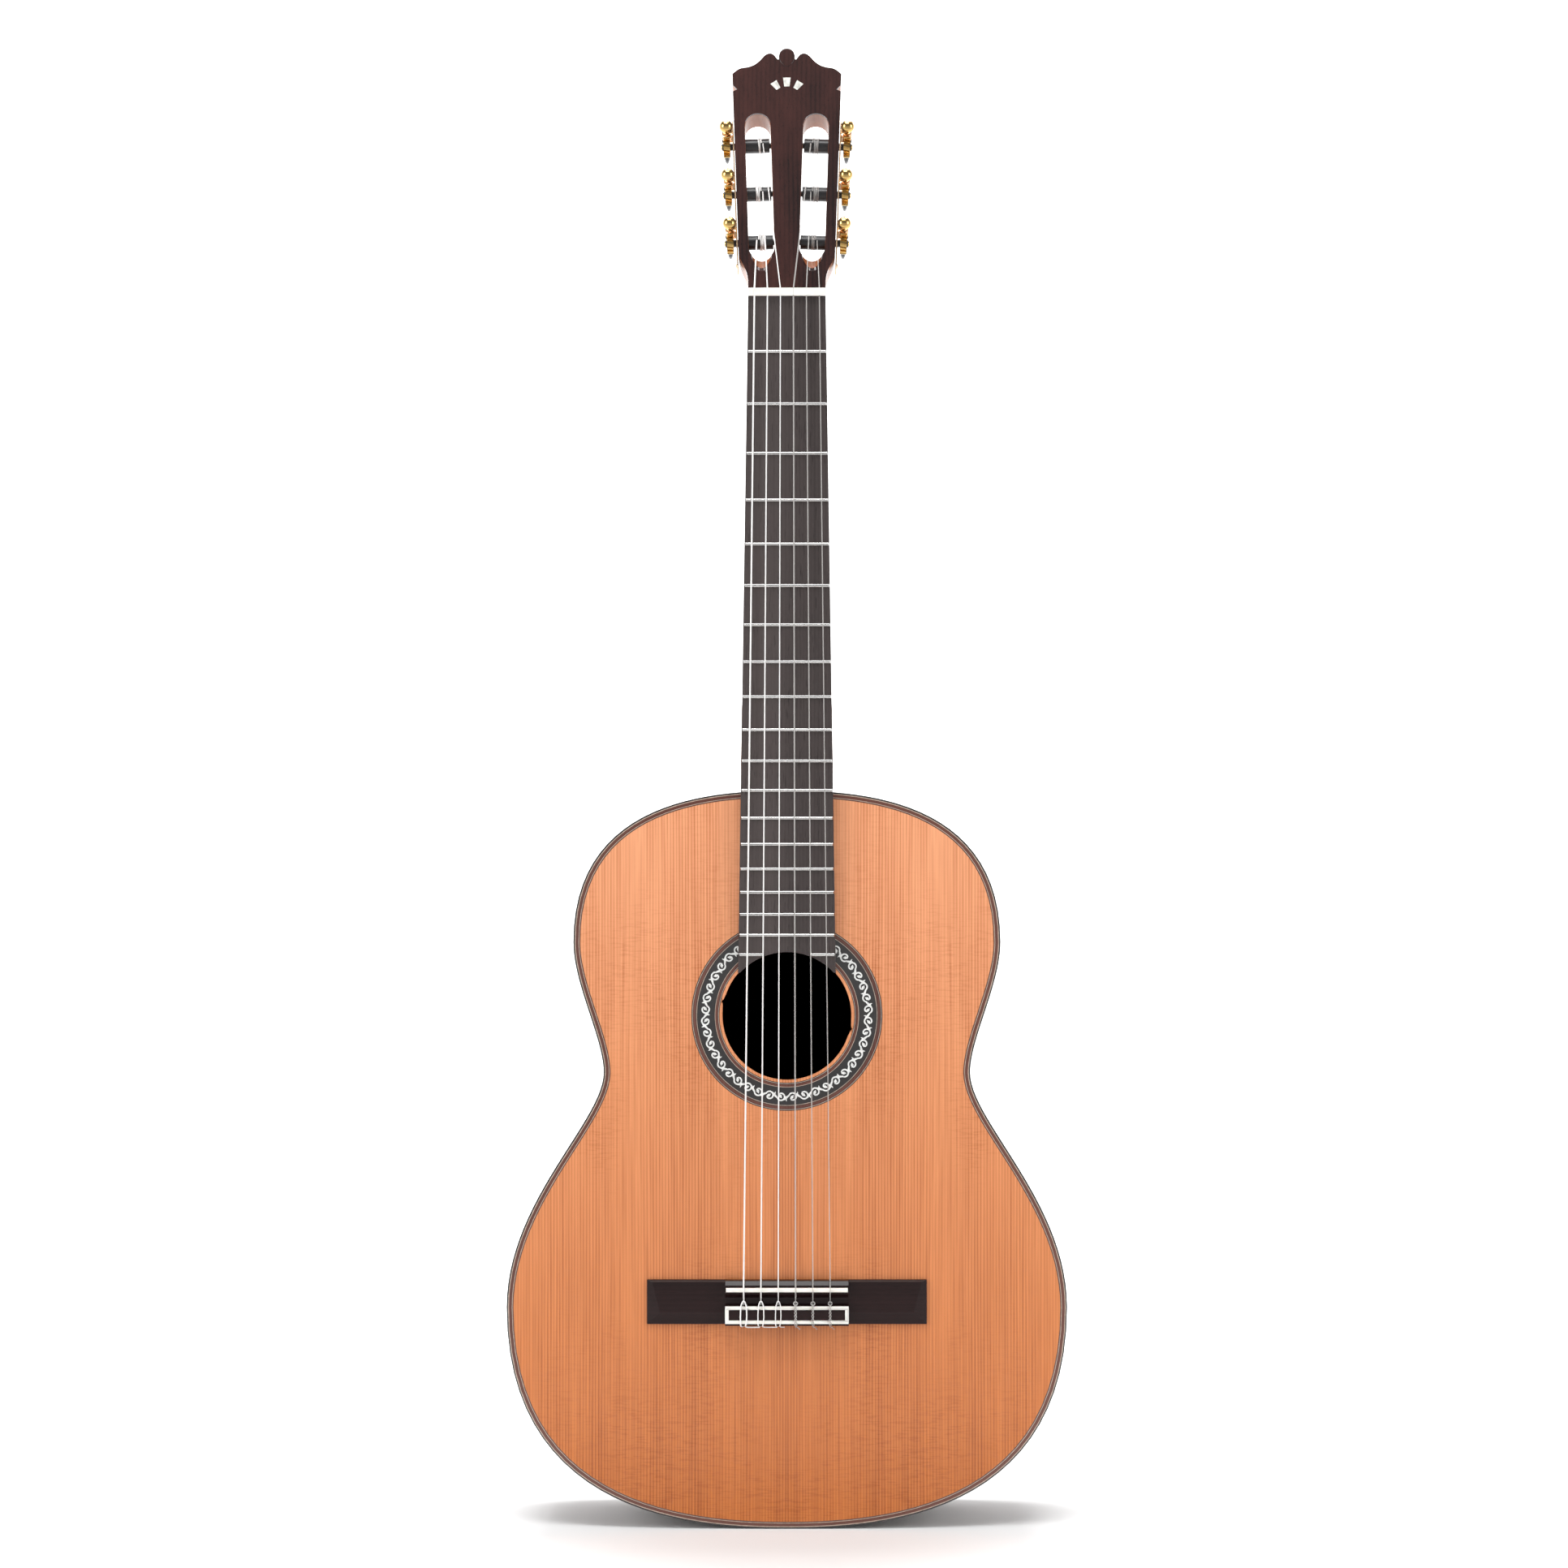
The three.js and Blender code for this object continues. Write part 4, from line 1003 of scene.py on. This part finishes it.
bridgeShape = {"half": 92.2, "low": 135.3, "high": 164.6, "centreHalf": 40.7, "wing": 4.0, "edge": 1.6,
               "lowerBevel": 7.8, "endBevel": 8.6, "block": 9.0, "channel": 4.0, "tieHigh": 148.5,
               "saddleLow": 157.6, "saddleHigh": 160.4, "holeY": -5.5}


def bridgeWing(side):
    shape = bridgeShape
    inner, outer = shape["centreHalf"] - 1, shape["half"]
    corners = [(inner, shape["low"]), (outer, shape["low"]), (outer, shape["high"]), (inner, shape["high"])]
    moves = [(0, shape["lowerBevel"]), (-shape["endBevel"], shape["lowerBevel"]),
             (-shape["endBevel"] + 5, -1.3), (0, -1.3)]
    bm = prism(corners, 0, shape["edge"])
    top = max(bm.faces, key=lambda face: face.calc_center_median().z)
    raised = bmesh.ops.extrude_face_region(bm, geom=[top])["geom"]
    bmesh.ops.delete(bm, geom=[top], context="FACES")
    for vert in vertsIn(raised):
        place = min(range(4), key=lambda corner: (vert.co.xy - Vector(corners[corner])).length)
        bmesh.ops.translate(bm, vec=(*moves[place], shape["wing"] - shape["edge"]), verts=[vert])
    bevelEdges(bm, sharpEdges(bm, 12), 0.3, 2)
    bm.transform(Matrix.Rotation(math.pi / 2, 4, "X"))
    if side < 0:
        bm.transform(Matrix.Scale(-1, 4, (1, 0, 0)))
        bmesh.ops.reverse_faces(bm, faces=bm.faces)
    return bm


def makeBridge():
    shape = bridgeShape
    profile = [(0, shape["low"]), (shape["block"], shape["low"]), (shape["block"], shape["tieHigh"]),
               (shape["channel"], shape["tieHigh"] + 0.4), (shape["channel"], shape["saddleLow"] - 4.4),
               (shape["block"], shape["saddleLow"] - 1.4), (shape["block"], shape["saddleHigh"] + 1.2),
               (6.4, shape["high"]), (0, shape["high"])]
    centre = prism([(-height, z) for height, z in profile], -shape["centreHalf"], shape["centreHalf"])
    bevelEdges(centre, sharpEdges(centre, 30), 0.35, 2)
    centre.transform(Matrix(((0, 0, 1, 0), (1, 0, 0, 0), (0, 1, 0, 0), (0, 0, 0, 1))))
    cutters = [block((-40.2, -20, shape["saddleLow"] - 0.05), (40.2, -3, shape["saddleHigh"] + 0.05))]
    for number in strings["radius"]:
        hole = turned([(0, -11), (0.95, -11), (0.95, 9), (0, 9)], 16)
        hole.transform(Matrix.Translation((stringX(number, strings["saddleSpacing"]), shape["holeY"], 142)))
        cutters.append(hole)
    centre = carve(centre, cutters)
    bm = joinInto(centre, bridgeWing(-1), bridgeWing(1))
    finishPiece("bridge_body", bm, ["bridge"], ["bridge"], smooth=25)


def makeSaddle():
    saddle = {"half": 40, "crest": -11.9, "foot": -3.05, "low": 157.65, "high": 160.35, "round": 1.0}
    bm = block((-saddle["half"], saddle["crest"], saddle["low"]),
               (saddle["half"], saddle["foot"], saddle["high"]))
    bevelEdges(bm, edgesWhere(bm, lambda spot: spot.y < saddle["crest"] + 0.9), saddle["round"], 5)
    finishPiece("saddle_bone", bm, ["bone"], ["saddle"])


def makeTieFrame():
    inlay = {"half": 40.5, "low": 136.6, "high": 148.2, "strip": 2.3, "back": -8.9, "front": -9.8}
    bm = bmesh.new()
    half, low, high, strip = inlay["half"], inlay["low"], inlay["high"], inlay["strip"]
    for a, b in (((-half, low), (half, low + strip)), ((-half, high - strip), (half, high)),
                 ((-half, low + strip), (-half + strip, high - strip)),
                 ((half - strip, low + strip), (half, high - strip))):
        joinInto(bm, block((a[0], inlay["front"], a[1]), (b[0], inlay["back"], b[1])))
    bmesh.ops.remove_doubles(bm, verts=bm.verts, dist=0.001)
    rim = [edge for edge in bm.edges if all(vert.co.y < inlay["front"] + 0.01 for vert in edge.verts)
           and edge.is_manifold and edge.calc_face_angle() > 0.5]
    bevelEdges(bm, rim, 0.22, 2)
    finishPiece("tie_block_frame", bm, ["bone"], ["tie_block_inlay"])


makeBridge()
makeSaddle()
makeTieFrame()
print("bridge made")


# ---------- strings ----------

def rollerTop(number):
    radius = strings["radius"][number]
    along = rollerAlong[strings["roller"][number]]
    return headFrame @ Vector((strings["rollerX"][number], along, rollerDepth + 4.75 + radius * 0.9))


def stringRun(number):
    radius = strings["radius"][number]
    xSaddle = stringX(number, strings["saddleSpacing"])
    xNut = stringX(number, strings["nutSpacing"])
    holeY = bridgeShape["holeY"]
    return [
        Vector((xSaddle, holeY, 134.6)), Vector((xSaddle, holeY, 149.4)),
        Vector((xSaddle, -11.9 - radius, 158.3)), Vector((xSaddle, strings["saddleY"], 160.6)),
        Vector((xNut, strings["nutY"], 812)), Vector((xNut, strings["nutY"] + 0.15, 816.6)),
        rollerTop(number),
    ]


def bassTie(number):
    radius = strings["radius"][number]
    x = stringX(number, strings["saddleSpacing"])
    over = -9.85 - radius
    wide = 1.2 + radius * 1.6
    loop = [
        (x, -5.5, 134.9), (x - 0.4, -6.6, 134.5), (x - wide * 0.75, -8.9, 134.8), (x - wide, over, 136.4),
        (x - wide * 1.02, over, 142), (x - wide * 0.9, over, 148.2), (x - wide * 0.45, over + 0.5, 151.0),
        (x, over + 0.1, 151.9), (x + wide * 0.45, over + 0.4, 151.0), (x + wide * 0.9, over, 148.0),
        (x + wide, over, 142), (x + wide * 0.85, over, 137), (x + wide * 0.5, -9.2, 135.0),
        (x + wide * 0.9, -7.6, 134.3),
    ]
    tail = [(x + 5.5, -7.9, 134.3), (x + 10.6, -8.3, 134.4)] if number > 4 else [(x + 4.2, -7.8, 134.3)]
    return tube(eased([Vector(point) for point in loop + tail], 1.6, 4), radius * 0.92, fine=2)


def trebleTie(number):
    radius = strings["radius"][number]
    x = stringX(number, strings["saddleSpacing"])
    over = -9.9 - radius
    ring = []
    for step in range(14):
        turn = wholeTurn * step / 13
        ring.append(Vector((x + 1.25 * math.sin(turn), over - 0.1 * math.sin(turn),
                            150.2 + 1.15 * math.cos(turn))))
    strands = []
    for phase in (0, math.pi):
        path = [Vector((x, over + 0.2, 149.0))]
        swing = 0.62
        for step in range(25):
            share = step / 24
            turn = phase + share * wholeTurn * 2.5
            path.append(Vector((x + swing * math.cos(turn), over - 0.15 - swing * 0.5 * math.sin(turn),
                                148.4 - share * 11.2)))
        path.append(Vector((x + (0.7 if phase else -0.2), -9.6, 135.6)))
        path.append(Vector((x + (0.3 if phase else 0.1), -7.0, 134.1)))
        if phase:
            path.append(Vector((x + 1.2, -6.6, 134.2)))
            path.append(Vector((x + 2.9, -7.0, 132.6)))
        strands.append(path)
    bm = tube(ring, radius * 0.9, fine=2)
    for path in strands:
        joinInto(bm, tube(eased(path, 0.4, 2), radius * 0.85, fine=1))
    return bm


def makeStrings():
    for number, radius in strings["radius"].items():
        run = eased(stringRun(number), 0.9, 5)
        bm = tube(run, radius, fine=4)
        joinInto(bm, bassTie(number) if number > 3 else trebleTie(number))
        materials, slot = stringStuff(number)
        finishPiece(f"string_{number}_run", bm, materials, [f"string_{number}"], smooth=60)


makeStrings()
print("strings made")


# ---------- machine heads ----------

machine = {"out": 5.3, "pitchRadius": 6.5, "wormRadius": 2.7, "teeth": 14, "lugAway": 7.0, "lugHalf": 0.8,
           "lugWidth": 2.6, "plateThickness": 1.0, "plateLow": 14, "plateHigh": 128, "plateHalf": 7.0}
wormOffset = machine["pitchRadius"] + machine["wormRadius"]
wormPitch = wholeTurn * machine["pitchRadius"] / machine["teeth"]


def machineNumber(side, place):
    return place + 1 if side > 0 else 6 - place


# Where a worm's shaft or a roller turns, as seen from the head's own frame
def shaftFrame(side, place):
    spot = Matrix.Translation((side * machine["out"], rollerAlong[place] + wormOffset, 0))
    return headFrame @ machineFrame(side) @ spot


def rollerFrame(side, place):
    return headFrame @ machineFrame(side) @ Matrix.Translation((0, rollerAlong[place], rollerDepth))


def screwHead(radius, height):
    profile = [(0, height), (radius * 0.55, height * 0.92), (radius * 0.9, height * 0.5), (radius, 0), (0, 0)]
    bm = turned(profile, 24)
    slot = block((-radius * 1.2, -radius * 0.13, height * 0.45), (radius * 1.2, radius * 0.13, height * 2))
    return carve(bm, [slot])


# The side plate with its pointed ends, a pair of lugs for each worm, and its screws
def makeMachinePlate(side):
    half, middle, width = machine["plateHalf"], rollerDepth, machine["lugWidth"]
    low, high = machine["plateLow"], machine["plateHigh"]
    end = [(middle - half, low + 8), (middle - half * 0.9, low + 4), (middle - half * 0.45, low + 2.4),
           (middle, low),
           (middle + half * 0.45, low + 2.4), (middle + half * 0.9, low + 4), (middle + half, low + 8)]
    outline = end + [(depth, low + high - along) for depth, along in end[::-1]]
    plate = prism([(-depth, along) for depth, along in outline], 0.3, 0.3 + machine["plateThickness"])
    bevelEdges(plate, edgesWhere(plate, lambda spot: spot.z > 1.2), 0.3, 2)
    plate.transform(Matrix.Rotation(math.pi / 2, 4, "Y"))
    cutters = []
    for along in rollerAlong:
        hole = turned([(0, -3), (2.7, -3), (2.7, 6), (0, 6)], 24)
        hole.transform(Matrix.Translation((0, along, rollerDepth)) @ Matrix.Rotation(math.pi / 2, 4, "Y"))
        cutters.append(hole)
    plate = carve(plate, cutters)
    for along in rollerAlong:
        y = along + wormOffset
        for away in (-machine["lugAway"], machine["lugAway"]):
            tongue = [(0.6, -width), (machine["out"], -width)]
            for step in range(1, 12):
                turn = math.pi * step / 12
                tongue.append((machine["out"] + width * math.sin(turn), -width * math.cos(turn)))
            tongue += [(machine["out"], width), (0.6, width)]
            lug = prism(tongue, -machine["lugHalf"], machine["lugHalf"])
            bore = turned([(0, -3), (1.62, -3), (1.62, 3), (0, 3)], 20)
            bore.transform(Matrix.Translation((machine["out"], 0, 0)))
            lug = carve(lug, [bore])
            rim = [edge for edge in sharpEdges(lug) if edge.verts[0].co.x > 1
                   and abs(edge.verts[0].co.z) == abs(edge.verts[1].co.z)]
            bevelEdges(lug, rim, 0.18, 2)
            lug.transform(Matrix.Translation((0, y, rollerDepth + away)))
            joinInto(plate, lug)
    for along in (low + 6.5, 52, 87, high - 6.5):
        screw = screwHead(1.7, 0.9)
        screw.transform(Matrix.Translation((1.25, along, middle - 1)) @ Matrix.Rotation(math.pi / 2, 4, "Y"))
        joinInto(plate, screw)
    if side < 0:
        plate.transform(Matrix.Scale(-1, 4, (1, 0, 0)))
    name = "bass" if side < 0 else "treble"
    finishPiece(f"{name}_machine_plate", plate, ["paleGold"], [f"machine_plate_{name}"],
                place=headFrame @ machineFrame(side))


# Worm shaft: ball in front of the front lug, threaded middle, collar behind the rear lug
def makeWorm(side, place, number):
    front = rollerDepth + machine["lugAway"] + 1.3
    rear = rollerDepth - machine["lugAway"] - 1.3
    ball = {"radius": 4.4, "high": 3.96}
    centre = front + ball["high"]
    profile = [(0, centre + ball["high"])]
    for step in range(1, 15):
        turn = math.pi * step / 15
        profile.append((ball["radius"] * math.sin(turn), centre + ball["high"] * math.cos(turn)))
    profile += [(1.9, front + 0.15), (1.5, front), (1.5, rollerDepth + 5.3), (1.9, rollerDepth + 5.1),
                (1.9, rollerDepth - 5.1), (1.5, rollerDepth - 5.3), (1.5, rear), (0, rear)]
    bm = turned(profile, 36)
    collar = [(0, rear), (2.9, rear), (3.1, rear - 0.3), (3.1, rear - 1.5), (2.7, rear - 1.9),
              (0, rear - 1.9)]
    joinInto(bm, paint(turned(collar, 32), 2))
    helix = []
    for step in range(97):
        turn = (step - 48) / 32 * wholeTurn
        angle = turn - math.pi / 2
        helix.append(Vector((2.35 * math.cos(angle), 2.35 * math.sin(angle),
                             rollerDepth + wormPitch * turn / wholeTurn)))
    ends = [0.35, 0.7] + [1.0] * 93 + [0.7, 0.35]
    joinInto(bm, paint(tube(helix, 0.74, ends, fine=1), 1))
    finishPiece(f"worm_{number}", bm, ["gold", "paleGold", "blackPlastic"],
                [f"worm_shaft_{number}"], f"knob_{number}", smooth=50, place=shaftFrame(side, place))


# Flat tapered knob: thick and narrow at the shaft, thin and broad at its end
def makeButton(side, place, number):
    knob = {"length": 26, "thick": (3.7, 1.4), "broad": (4.0, 7.8), "top": -18.8}
    bm = bmesh.new()
    loops = []
    for step in range(21):
        share = step / 20
        ease = 1 - (1 - share) ** 4 * 0.35
        closing = math.sqrt(max(0.0, 1 - max(0.0, (share - 0.55) / 0.45) ** 2 * 0.9))
        thick = (knob["thick"][0] + (knob["thick"][1] - knob["thick"][0]) * share) * ease
        flare = min(1, share / 0.55) ** 0.9
        broad = (knob["broad"][0] + (knob["broad"][1] - knob["broad"][0]) * flare) * ease * closing
        edge = math.sqrt(max(0.0, 1 - max(0.0, (share - 0.93) / 0.07) ** 2 * 0.6))
        ring = []
        for corner in range(32):
            turn = wholeTurn * corner / 32
            c, s = math.cos(turn), math.sin(turn)
            ring.append((thick * edge * math.copysign(abs(c) ** 0.85, c),
                         broad * math.copysign(abs(s) ** 0.85, s), knob["top"] - knob["length"] * share))
        loops.append(loopOf(bm, ring))
    bridge(bm, loops)
    bmesh.ops.holes_fill(bm, edges=bm.edges[:])
    caps = [edge for edge in bm.edges if edge.is_manifold and edge.calc_face_angle() > math.radians(55)]
    bevelEdges(bm, caps, 0.3, 2)
    finishPiece(f"knob_button_{number}", bm, ["blackPlastic"], [f"button_{number}"],
                f"knob_{number}", smooth=45, place=shaftFrame(side, place))


def makeRoller(side, place, number):
    end = machine["out"] + 3.2
    profile = [(0, -27), (1.9, -27), (1.9, -23.4), (4.6, -23.3), (4.75, -23.1), (4.75, -0.5), (4.6, -0.3),
               (2.45, -0.3), (2.45, end - 0.3), (2.1, end), (0, end)]
    bm = sideways(turned(profile, 40), side)
    for along in (-18.0, -6.0):
        bead = [(4.6, along), (4.9, along + 0.15), (4.9, along + 0.55), (4.6, along + 0.7)]
        joinInto(bm, sideways(turned(bead, 40, closed=True), side))
    finishPiece(f"string_roller_{number}", bm, ["rollerPlastic"], [f"roller_{number}"],
                f"spool_{number}", place=rollerFrame(side, place))
    screw = sideways(screwHead(2.0, 0.8), side, out=end - 0.05)
    finishPiece(f"gear_screw_{number}", screw, ["gold"], (), f"spool_{number}",
                place=rollerFrame(side, place))


# The turns of string on a roller, counted from where the string arrives
def makeWinding(side, place, number):
    radius = strings["radius"][number]
    reach = 4.75 + radius * 0.9
    inFrame = machineFrame(side).inverted() @ Vector((strings["rollerX"][number], rollerAlong[place], 0))
    turns = {6: 3.6, 5: 3.2, 4: 2.6, 3: 3.4, 2: 4.2, 1: 3.4}[number]
    towards = 1 if number in (1, 6) else -1
    path = []
    perTurn = 28
    for step in range(int(turns * perTurn) + 1):
        turn = step / perTurn * wholeTurn
        away = radius * (2.6 + 2.25 * step / perTurn) + 0.3 * math.sin(step * 0.19) ** 2
        x = inFrame.x - side * towards * away
        path.append(Vector((x, reach * math.sin(turn), reach * math.cos(turn))))
    last = path[-1]
    path.append(Vector((last.x, last.y * 0.55, last.z * 0.55)))
    bm = tube(path, radius * 0.96, fine=2)
    if number == 1:  # the knotted end shows between the turns
        bead = bmesh.new()
        bmesh.ops.create_uvsphere(bead, u_segments=16, v_segments=10, radius=1.05)
        bead.transform(Matrix.Translation((inFrame.x - side * 2.6, 0, reach + 0.5)))
        joinInto(bm, bead)
    materials, slot = stringStuff(number)
    finishPiece(f"winding_{number}", bm, materials, (), f"spool_{number}", smooth=60,
                place=rollerFrame(side, place))


for side in (-1, 1):
    makeMachinePlate(side)
    for place in range(3):
        number = machineNumber(side, place)
        makeWorm(side, place, number)
        makeButton(side, place, number)
        makeRoller(side, place, number)
        makeWinding(side, place, number)
print("machine heads made")


# ---------- carried-over parts ----------

carried = {"gold": [f"gear_{number}" for number in range(1, 7)],
           "spruce": ["top_lining", "back_lining", "upper_harmonic_bar", "lower_harmonic_bar",
                      "upper_back_brace", "middle_back_brace", "lower_back_brace",
                      *(f"fan_brace_{number}" for number in range(1, 6))],
           "mahogany": ["tail_block"]}
for label, nodes in carried.items():
    for node in nodes:
        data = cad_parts[node].data
        data.materials.clear()
        data.materials.append(finish[label])


# ---------- studio ----------

studio = {
    "camera": (-0.0019, faceY - 2.2, 0.4912),
    "lens": 76.6,
    "world": 0.25,
    "floor": (0.72, 0.72, 0.72),
    "frontFloor": (0.46, 0.46, 0.46),
    "sheet": {"half": 40, "start": 0.9, "sweep": 1.2, "top": 5},
    "lights": {  # place, where it points, width and height, power
        "keySoftbox": ((-0.3, -1.1, 3.3), (0, 0, 0.5), (2.0, 1.0), 72),
        "leftSoftbox": ((-2.4, -1.3, 1.3), (0, 0, 0.5), (1.2, 1.8), 38),
        "rightSoftbox": ((2.4, -1.3, 1.2), (0, 0, 0.5), (1.2, 1.8), 31),
        "rearSoftbox": ((0, 0.6, 2.6), (0, 0, 0), (1.6, 0.8), 58),
    },
}


def makeFloor():
    sheet = studio["sheet"]
    start, sweep = sheet["start"], sheet["sweep"]
    bm = bmesh.new()
    profile = [(-sheet["half"], 0), (start, 0)]
    for step in range(1, 11):
        turn = math.pi / 2 * step / 10
        profile.append((start + sweep * math.sin(turn), sweep - sweep * math.cos(turn)))
    profile.append((start + sweep, sheet["top"]))
    edges = loopOf(bm, [(-sheet["half"], y, z) for y, z in profile], closed=False)
    made = bmesh.ops.extrude_edge_only(bm, edges=edges)["geom"]
    bmesh.ops.translate(bm, vec=(2 * sheet["half"], 0, 0), verts=vertsIn(made))
    bmesh.ops.recalc_face_normals(bm, faces=bm.faces)
    data = bpy.data.meshes.new("floor")
    bm.to_mesh(data)
    bm.free()
    data.shade_smooth()
    material, tree, shader = newMaterial("floorPaintAndGlow", Roughness=0.8, Emission_Strength=1.0)
    place = patternVector(tree, "object")
    parts = tree.nodes.new("ShaderNodeSeparateXYZ")
    feed(tree, parts.inputs[0], place)
    distance = tree.nodes.new("ShaderNodeVectorMath")
    distance.operation = "LENGTH"
    feed(tree, distance.inputs[0], stretch(tree, place, (1, 1, 0)))
    # The sheet glows behind the guitar, painted light that washes out the shadows cast there, and glows again
    # far off where the lamps no longer reach it
    behind = ramp(tree, parts.outputs[1], 0.03, 0.3, 0.02, 0.85)
    faraway = ramp(tree, distance.outputs["Value"], 2.6, 6.0, 0.0, 0.55)
    feed(tree, shader.inputs["Emission Color"], calc(tree, "MAXIMUM", behind, faraway))
    paintNoise = ramp(tree, noise(tree, place, 3, 2), 0.3, 0.7)
    tone = studio["floor"]
    paint = mixColors(tree, paintNoise, (*tone, 1), (*(part * 0.98 for part in tone), 1))
    fromFront = ramp(tree, parts.outputs[1], -1.0, -0.3)
    feed(tree, shader.inputs["Base Color"], mixColors(tree, fromFront, (*studio["frontFloor"], 1), paint))
    data.materials.append(material)
    floor = bpy.data.objects.new("floor", data)
    collection.objects.link(floor)


def addLight(name, place, target, size, power):
    data = bpy.data.lights.new(name, "AREA")
    data.shape = "RECTANGLE"
    data.size, data.size_y = size
    data.energy = power
    light = bpy.data.objects.new(name, data)
    light.location = place
    light.rotation_euler = (Vector(target) - Vector(place)).to_track_quat("-Z", "Y").to_euler()
    collection.objects.link(light)


def makeStudio():
    makeFloor()
    world = bpy.data.worlds.new("studio")
    world.use_nodes = True
    sky = world.node_tree.nodes["Background"]
    sky.inputs["Color"].default_value = (1, 1, 1, 1)
    sky.inputs["Strength"].default_value = studio["world"]
    bpy.context.scene.world = world
    for name, light in studio["lights"].items():
        addLight(name, *light)
    data = bpy.data.cameras.new("camera")
    data.lens = studio["lens"]
    data.sensor_width = 36
    camera = bpy.data.objects.new("camera", data)
    camera.location = studio["camera"]
    camera.rotation_euler = (math.pi / 2, 0, 0)
    collection.objects.link(camera)
    bpy.context.scene.camera = camera
    bpy.context.scene.view_settings.view_transform = "Standard"


makeStudio()
print("studio made")
